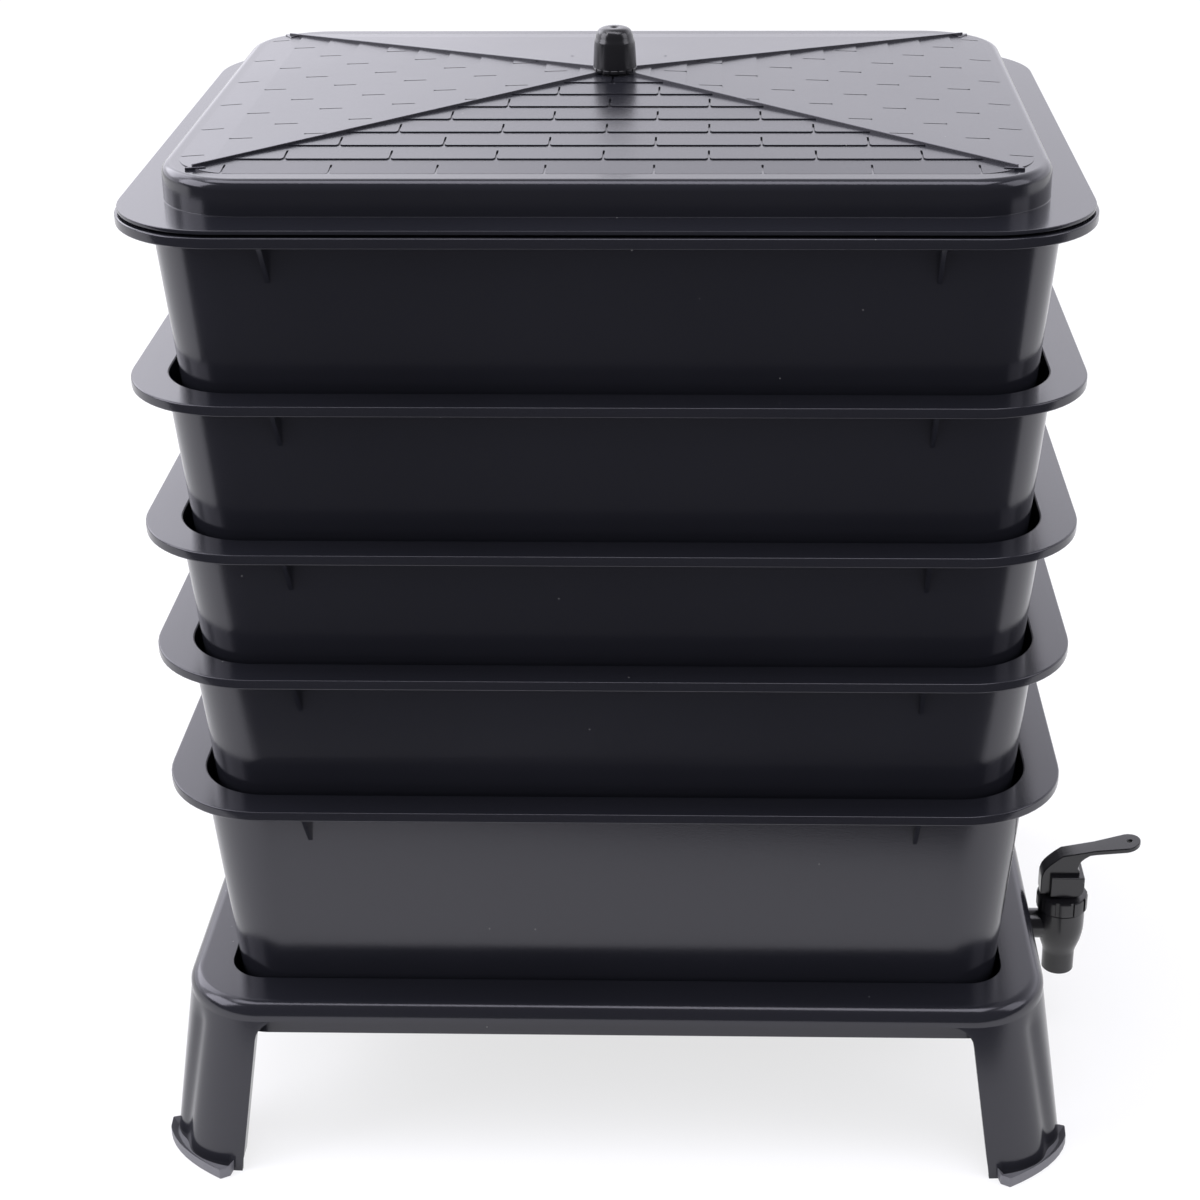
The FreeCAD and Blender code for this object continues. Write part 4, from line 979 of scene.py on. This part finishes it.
class WORMERY_OT_stand(bpy.types.Operator):
    """Model the stand: frame, splayed legs, feet, basin and sump"""
    bl_idname = "wormery.stand"
    bl_label = "Stand"

    def frame_sheet(self):
        """Top, skirt, legs and basin as one sheet with its wall."""
        obj = outline_face("stand_sheet", STAND_HALF, STAND_RADIUS, STAND_TOP, 32)
        inset = STAND_HALF[0] - BASIN_HALF[0]
        bpy.ops.mesh.inset(thickness=inset * MM, depth=0, use_boundary=True)
        bpy.ops.transform.resize(value=(1, BASIN_HALF[1] / (STAND_HALF[1] - inset), 1),
                                 center_override=(0, 0, STAND_TOP * MM))
        bpy.ops.mesh.inset(thickness=BASIN_TAPER * MM, depth=-(STAND_TOP - BASIN_FLOOR) * MM)
        for axis, corner in enumerate(STAND_CORNER):
            normal = [int(axis == other) for other in range(3)]
            for side in (-1, 1):
                bpy.ops.mesh.select_all(action="SELECT")
                place = [side * (corner - ARCH_RADIUS) * MM * value for value in normal]
                bpy.ops.mesh.bisect(plane_co=place, plane_no=normal)
        pick("EDGE", lambda edge: edge.is_boundary)
        draw_out((0, 0, -(STAND_TOP - SKIRT_FOOT) * MM))

        def outer_edge(edge):
            start = edge.verts[0].co
            steep = any(abs(face.normal.z) < 0.5 for face in edge.link_faces)
            far = any(abs(start[axis]) > OUTER_SHARE * STAND_HALF[axis] * MM for axis in range(2))
            return level_edge(STAND_TOP * MM)(edge) and steep and far and not within(start, BASIN_HALF)
        pick("EDGE", outer_edge)
        bpy.ops.mesh.bevel(offset_type="OFFSET", offset=STAND_ROUND * MM, segments=7, profile=0.5,
                           affect="EDGES")
        for side_x in (-1, 1):
            for side_y in (-1, 1):
                self.leg((side_x, side_y))
        bpy.ops.mesh.select_all(action="SELECT")
        bpy.ops.mesh.remove_doubles(threshold=NEAR)
        face_outwards()
        move_vertices(lambda co: co.z < SKIRT_FOOT * MM - NEAR, self.flute_shift)
        leave_edit()
        face_up(obj, STAND_TOP * MM)
        thicken(obj, STAND_WALL)
        round_edges(obj, STAND_EDGE * MM)
        edit(obj)
        move_vertices(lambda co: co.z < 0, lambda co: (0, 0, -co.z))
        leave_edit()
        return obj

    def leg(self, sides):
        """Draws a leg down from the skirt: round arch corners, splayed sides and the returns behind them."""
        start = [(corner - ARCH_RADIUS) * MM - SLACK for corner in STAND_CORNER]

        def in_leg(co):
            return all(sides[axis] * co[axis] > start[axis] for axis in range(2))
        pick("EDGE", lambda edge: edge.is_boundary and level_edge(SKIRT_FOOT * MM)(edge)
             and all(in_leg(vertex.co) for vertex in edge.verts))
        turns = [math.radians(angle) for angle in range(0, 91, 15)]
        heights = [SKIRT_FOOT - ARCH_RADIUS * (1 - math.cos(turn)) for turn in turns]
        reaches = [ARCH_RADIUS * math.sin(turn) for turn in turns]
        heights += [heights[-1] * (1 - step / LEG_STEPS) for step in range(1, LEG_STEPS + 1)]
        reaches += [ARCH_RADIUS] * LEG_STEPS

        def free_edge(axis, z, reach):
            return (STAND_CORNER[axis] - ARCH_RADIUS + reach + STAND_SPLAY * (SKIRT_FOOT - z)) * MM
        for before, after, reach in zip(heights, heights[1:], reaches[1:]):
            drop = (before - after) * MM
            draw_out((sides[0] * STAND_SPLAY * drop, sides[1] * STAND_SPLAY * drop, -drop))
            mesh = bmesh.from_edit_mesh(bpy.context.edit_object.data)
            chosen = [vertex for vertex in mesh.verts if vertex.select]
            ends = [min(chosen, key=lambda vertex: sides[axis] * vertex.co[axis]) for axis in range(2)]
            for axis, end in enumerate(ends):
                end.co[axis] = sides[axis] * free_edge(axis, after, reach)
            bmesh.update_edit_mesh(bpy.context.edit_object.data)
        for axis in range(2):
            path = [(free_edge(axis, z, reach), z * MM) for z, reach in zip(heights, reaches)]

            def on_path(co):
                return any(abs(co.z - z) < NEAR and abs(sides[axis] * co[axis] - a) < NEAR for a, z in path)
            found = pick("EDGE", lambda edge: edge.is_boundary
                         and all(in_leg(vertex.co) and on_path(vertex.co) for vertex in edge.verts)
                         and max(vertex.co.z for vertex in edge.verts) > RETURN_FOOT * MM)
            if not found:
                raise RuntimeError("no free edge found on a leg")
            move = [0, 0, 0]
            move[1 - axis] = -sides[1 - axis] * LEG_RETURN * MM
            draw_out(move)

    def flute_shift(self, co):
        """How far a point of a leg moves inwards to press the hollow down the leg's outer side."""
        drop = SKIRT_FOOT * MM - co.z
        x, y = (abs(co[axis]) - STAND_CORNER[axis] * MM - STAND_SPLAY * drop for axis in range(2))
        out = math.hypot(x, y)
        if x < 0 or y < 0 or abs(out - STAND_RADIUS * MM) > FLUTE_BAND * MM:
            return (0, 0, 0)
        down = min(max(drop / (SKIRT_FOOT * MM), 0.0), 1.0)
        middle = FLUTE_ANGLE[0] + FLUTE_ANGLE[1] * down
        width = FLUTE_WIDTH[0] + FLUTE_WIDTH[1] * down
        depth = FLUTE_DEPTH * MM * min(down / FLUTE_START, 1.0) * (FLUTE_SHARE + (1 - FLUTE_SHARE) * down)
        press = depth * math.exp(-((math.degrees(math.atan2(x, y)) - middle) / width) ** 2)
        return (-math.copysign(x / out * press, co.x), -math.copysign(y / out * press, co.y), 0)

    def foot(self):
        """The front right foot: a gutter with a lip round the end of the leg."""
        tip, middle, side = FOOT_CURVE
        pull = 2 * middle - (tip + side) / 2
        shares = [index / 8 for index in range(9)]
        curve = [(1 - t) ** 2 * tip + 2 * t * (1 - t) * pull + t ** 2 * side for t in shares]
        points = [*FOOT_INNER, *curve, *FOOT_OUTER]
        foot = flat_shape("foot", [(x, -y, 0) for x, y in points], (0, 0, FOOT_HEIGHT))
        edit(foot)
        pick("FACE", lambda face: face.normal.z > 0.9)
        bpy.ops.mesh.inset(thickness=FOOT_RIM * MM, depth=-FOOT_SUNK * MM)
        leave_edit()
        round_edges(foot, FOOT_EDGE * MM)
        return foot

    def sump(self):
        """The small well under the basin that feeds the tap."""
        well = block("sump", SUMP_LOW, SUMP_HIGH)
        edit(well)
        pick("EDGE", lambda edge: not level_edge(edge.verts[0].co.z)(edge)
             and edge.verts[0].co.x < SUMP_LOW[0] * MM + NEAR)
        bpy.ops.mesh.bevel(offset=SUMP_ROUND * MM, segments=6, affect="EDGES")
        pick("FACE", lambda face: face.normal.z > 0.9)
        bpy.ops.mesh.inset(thickness=SUMP_WALL * MM, depth=0)
        draw_out((0, 0, -SUMP_DEPTH * MM))
        leave_edit()
        return well

    def execute(self, context):
        sheet = self.frame_sheet()
        low = [value + SUMP_WALL for value in SUMP_LOW[:2]]
        high = [value - SUMP_WALL for value in SUMP_HIGH[:2]]
        cut_away(sheet, block("well", (*low, WELL_HEIGHTS[0]), (*high, WELL_HEIGHTS[1])))
        feet = in_four_corners("stand_feet", self.foot())
        # the feet's lighter finish is a painted reflection of the floor
        finish_piece(feet, "stand", "feet_painted_light_plastic")
        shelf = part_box("tray_5")[0][2] / MM - FIN_SEAT
        shelves = fins(BASIN_FLOOR - OVERLAP, shelf, lambda axis, z: BASIN_HALF[axis], tray_edges())
        stand = joined("stand_moulding", [sheet, self.sump()] + shelves)
        finish_piece(stand, "stand", "satin_plastic", ("stand",))
        return {"FINISHED"}


# Tap

class WORMERY_OT_tap(bpy.types.Operator):
    """Model the tap's body, collar, lever and spring"""
    bl_idname = "wormery.tap"
    bl_label = "Tap"

    def body(self):
        """The turned body with spout and inlet."""
        parts = [turned("tap_turning", TAP_OUTLINE, TAP_AT, 64)]
        for radius, low, high in SHANK_PARTS:
            clear_selection()
            bpy.ops.mesh.primitive_cylinder_add(vertices=48, radius=radius * MM, depth=(high - low) * MM,
                                                location=((low + high) / 2 * MM, TAP_Y * MM, SHANK_Z * MM),
                                                rotation=(0, math.pi / 2, 0))
            parts.append(bpy.context.active_object)
            settle()
        for part in parts[1:]:
            round_edges(part, SHANK_EDGE * MM, 2, 60)
        return joined("tap_body_turning", parts)

    def collar(self):
        """The notched collar."""
        collar = turned("tap_collar", COLLAR_OUTLINE, TAP_AT, 80)
        notch_round(collar, *COLLAR_NOTCH, COLLAR_NOTCHES, TAP_AT)
        return joined("tap_collar_turning", [collar, turned("plug", COLLAR_PLUG, TAP_AT)])

    def lever(self):
        """Block, neck, arm and paddle."""
        def at(x, z, y):
            return (TAP_X + x, TAP_Y + y, z)

        def arm_top(x):
            return ARM_START[1] + ARM_SLOPE * (x - ARM_START[0])
        turns = [math.radians(angle) for angle in (18, 36, 54, 72, 90)]
        cheek = [(BLOCK_FROM, LEVER_FOOT), (CAM_MIDDLE, LEVER_FOOT)]
        cheek += [(CAM_MIDDLE + CAM_RADIUS * math.sin(turn), LEVER_FOOT + CAM_RADIUS * (1 - math.cos(turn)))
                  for turn in turns]
        cheek += [(CAM_MIDDLE + CAM_RADIUS, BLOCK_TOP), (BLOCK_FROM, BLOCK_TOP)]
        cam = flat_shape("lever_block", [at(x, z, -BLOCK_WIDTH / 2) for x, z in cheek], (0, BLOCK_WIDTH, 0))
        low, high = ((TAP_X + x, TAP_Y + y, z) for x, y, z in (SLOT_LOW, SLOT_HIGH))
        cut_away(cam, block("slot", low, high))
        outer = [(LEVER_BACK, 89.6), (-12.0, 91.6), (-11.2, 94.2), (-9.9, 96.3), (-8.2, 98.2), (-6.3, 100.0),
                 (-4.2, 101.8), (-1.7, 103.7)]
        inner = [(12.0, arm_top(12.0) - ARM_THICKNESS), (9.6, 102.2), (7.9, 100.6), (6.9, 98.4), (6.3, 96.2),
                 (7.4, 94.8), (7.4, 92.0), (-6.4, 92.0), (-6.4, LEVER_FOOT), (LEVER_BACK, LEVER_FOOT)]
        tip = [(ARM_END, arm_top(ARM_END)), (ARM_END, arm_top(ARM_END) - ARM_THICKNESS)]
        hook = flat_shape("lever_hook", [at(x, z, -ARM_WIDTH / 2) for x, z in outer + tip + inner],
                          (0, ARM_WIDTH, 0))
        plan = [(PADDLE_START, -ARM_WIDTH / 2), (PADDLE_MIDDLE, -PADDLE_RADIUS)]
        for angle in range(15, 180, 15):
            turn = math.radians(angle)
            plan.append((PADDLE_MIDDLE + PADDLE_RADIUS * math.sin(turn), -PADDLE_RADIUS * math.cos(turn)))
        plan += [(PADDLE_MIDDLE, PADDLE_RADIUS), (PADDLE_START, ARM_WIDTH / 2)]
        paddle = flat_shape("lever_paddle", [at(x, arm_top(x) - ARM_THICKNESS, y) for x, y in plan],
                            (0, 0, ARM_THICKNESS))
        hole = [(HOLE_RADIUS, z) for z in HOLE_HEIGHTS]
        cut_away(paddle, turned("hole", hole, (TAP_X + HOLE_X, TAP_Y), 24))
        pieces = [cam, hook, paddle]
        for piece in pieces:
            round_edges(piece, LEVER_EDGE * MM, 3)
        return joined("tap_lever_moulding", pieces)

    def spring(self):
        """The coil round the stem, at the imported spring's length; it keeps that length when the lever lifts
        the stem.
        """
        low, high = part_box("valve_spring")
        wire = SPRING_WIRE / 2 * MM
        foot, top = low[2] + wire, high[2] - wire
        clear_selection()
        bpy.ops.mesh.primitive_circle_add(vertices=10, radius=wire, location=(SPRING_RADIUS * MM, 0, foot),
                                          rotation=(math.pi / 2, 0, 0))
        coil = bpy.context.active_object
        coil.name = "valve_coil"
        settle()
        steps = int(SPRING_TURNS * SPRING_STEPS)
        modify(coil, "SCREW", angle=SPRING_TURNS * 2 * math.pi, screw_offset=top - foot,
               steps=steps, render_steps=steps)
        edit(coil)
        pick("EDGE", lambda edge: edge.is_boundary)
        bpy.ops.mesh.fill_holes(sides=0)
        face_outwards()
        leave_edit()
        x, y = TAP_X * MM, TAP_Y * MM
        coil.data.transform(Matrix.Translation((x, y, 0)))
        finish_piece(coil, None, "brushed_steel_wire", ("valve_spring",), smooth=50)
        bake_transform(coil)

    def execute(self, context):
        self.spring()
        finish_piece(self.body(), "stand", "gloss_black_plastic", ("tap_body",))
        finish_piece(self.collar(), "stand", "gloss_black_plastic", ("tap_bonnet",))
        finish_piece(self.lever(), "lever", "gloss_black_plastic", ("tap_lever",))
        return {"FINISHED"}


# Stage

class WORMERY_OT_stage(bpy.types.Operator):
    """Set the floor, the light and the camera"""
    bl_idname = "wormery.stage"
    bl_label = "Stage"

    def floor(self, shade):
        """A wide pale floor, which is partly plain white to the camera and in reflections."""
        clear_selection()
        turn = Matrix.Rotation(math.radians(FLOOR_TURN), 4, "Z")
        middle = turn @ Vector((0, FLOOR_SIZE / 2, 0)) - Vector((0, FLOOR_IN_FRONT, 0))
        bpy.ops.mesh.primitive_plane_add(size=FLOOR_SIZE, location=middle, rotation=turn.to_euler())
        floor = bpy.context.active_object
        floor.name = "floor"
        settle()
        finish = Finish("pale_floor")
        finish.set(Base_Color=colour(shade), Roughness=0.9, Specular_IOR_Level=0.1)
        camera, glossy, through = finish.rays()
        seen = (camera + glossy + through).clamped() * FLOOR_GLOW
        white = finish.node("ShaderNodeEmission", {}, {"Color": WHITE, "Strength": 1.0})
        lit = Value(finish.tree, finish.shader.outputs[0])
        blend = finish.node("ShaderNodeMixShader", {}, {0: seen, 1: lit, 2: white})
        finish.put(finish.tree.nodes["Material Output"].inputs["Surface"], blend)
        floor.data.materials.append(finish.material)

    def world(self):
        """White for the camera; in reflections a bright backdrop behind the object and a dim room."""
        world = bpy.data.worlds.new("surround")
        world.use_nodes = True
        bpy.context.scene.world = world
        nodes = Nodes(world.node_tree)
        camera, glossy, through = nodes.rays()
        direction = nodes.node("ShaderNodeTexCoord", {}, {})
        across = nodes.node("ShaderNodeSeparateXYZ", {}, {"Vector": direction})
        back, up = across.beside(1), across.beside(2)
        behind = (back * BACKDROP_GAIN + BACKDROP_SIDE).clamped()
        left = ((LEFT_FROM - across) * LEFT_GAIN).clamped()
        low = (1.0 - (up - BACKDROP_FULL).clamped() * (BACKDROP_FADE - left * LEFT_FADE)).clamped()
        rise = ((up - BACKDROP_FOOT_TOP) * BACKDROP_FOOT_GAIN).clamped()
        foot = BACKDROP_FOOT + rise * (1.0 - BACKDROP_FOOT)
        backdrop = behind * (low * foot * (BACKDROP_LEVEL + left * LEFT_LEVEL) + BACKDROP_LEAST)
        seen = camera.math("MAXIMUM", camera, through)
        unseen = glossy * (backdrop + ROOM_LEVEL) + (1.0 - glossy) * DIFFUSE_LEVEL
        background = world.node_tree.nodes["Background"]
        nodes.put(background.inputs["Strength"], seen + (1.0 - seen) * unseen)
        tint = colour(bpy.context.scene.wormery_colours.light)
        nodes.put(background.inputs["Color"], nodes.mix(seen, tint, WHITE))

    def lamp(self, name, place, target, size, power):
        """A soft rectangular lamp that looks at a point."""
        light = bpy.data.lights.new(name, "AREA")
        light.shape = "RECTANGLE"
        light.size, light.size_y = size
        light.energy = power
        light.color = bpy.context.scene.wormery_colours.light
        lamp = bpy.data.objects.new(name, light)
        bpy.context.scene.collection.objects.link(lamp)
        lamp.location = place
        direction = Vector(target) - Vector(place)
        lamp.rotation_euler = direction.to_track_quat("-Z", "Y").to_euler()
        lamp.visible_camera = False

    def camera(self):
        """The camera of the photograph, in place, direction, lens and shift."""
        yaw, pitch, roll = (math.radians(value) for value in (CAMERA_YAW, CAMERA_PITCH, CAMERA_ROLL))
        forward = Vector((math.sin(yaw) * math.cos(pitch), math.cos(yaw) * math.cos(pitch), -math.sin(pitch)))
        right = Vector((math.cos(yaw), -math.sin(yaw), 0))
        down = forward.cross(right)
        turned_right = math.cos(roll) * right + math.sin(roll) * down
        turned_down = -math.sin(roll) * right + math.cos(roll) * down
        data = bpy.data.cameras.new("camera")
        camera = bpy.data.objects.new("camera", data)
        bpy.context.scene.collection.objects.link(camera)
        rotation = Matrix((turned_right, -turned_down, -forward)).transposed()
        camera.matrix_world = Matrix.Translation(CAMERA_PLACE) @ rotation.to_4x4()
        data.sensor_fit = "HORIZONTAL"
        data.sensor_width = 36.0
        data.lens = CAMERA_FOCAL_PX / IMAGE_PX * data.sensor_width
        data.shift_x = (IMAGE_PX / 2 - CAMERA_CENTRE_PX[0]) / IMAGE_PX
        data.shift_y = (CAMERA_CENTRE_PX[1] - IMAGE_PX / 2) / IMAGE_PX
        data.clip_end = 50.0
        bpy.context.scene.camera = camera

    def execute(self, context):
        self.floor(context.scene.wormery_colours.floor)
        self.world()
        for name, place, height, size, power in SOFTBOXES:
            self.lamp(name, place, (0, 0, height), size, power)
        self.camera()
        context.scene.view_settings.view_transform = "Standard"
        return {"FINISHED"}


# Panel and registration

class WORMERY_PT_panel(bpy.types.Panel):
    """The wormery's pieces, in the order in which they are made"""
    bl_idname = "WORMERY_PT_panel"
    bl_label = "Wormery"
    bl_space_type = "VIEW_3D"
    bl_region_type = "UI"
    bl_category = "Wormery"

    def draw(self, context):
        for operator in OPERATORS:
            self.layout.operator(operator.bl_idname)
        for group in (context.scene.wormery_colours, context.scene.wormery_sizes):
            for name in group.__annotations__:
                self.layout.prop(group, name)


OPERATORS = (WORMERY_OT_finishes, WORMERY_OT_trays, WORMERY_OT_lid, WORMERY_OT_knob, WORMERY_OT_stand,
             WORMERY_OT_tap, WORMERY_OT_stage)
CLASSES = (WormeryColours, WormerySizes) + OPERATORS + (WORMERY_PT_panel,)


def register():
    """Registers the classes and the scene's settings."""
    for entry in CLASSES:
        bpy.utils.register_class(entry)
    bpy.types.Scene.wormery_colours = bpy.props.PointerProperty(type=WormeryColours)
    bpy.types.Scene.wormery_sizes = bpy.props.PointerProperty(type=WormerySizes)


def unregister():
    """Takes them away again."""
    del bpy.types.Scene.wormery_colours
    del bpy.types.Scene.wormery_sizes
    for entry in reversed(CLASSES):
        bpy.utils.unregister_class(entry)


def main():
    """Makes every piece."""
    register()
    bpy.ops.wormery.finishes()
    bpy.ops.wormery.trays()
    bpy.ops.wormery.lid()
    bpy.ops.wormery.knob()
    bpy.ops.wormery.stand()
    bpy.ops.wormery.tap()
    bpy.ops.wormery.stage()


if __name__ == "__main__":
    main()
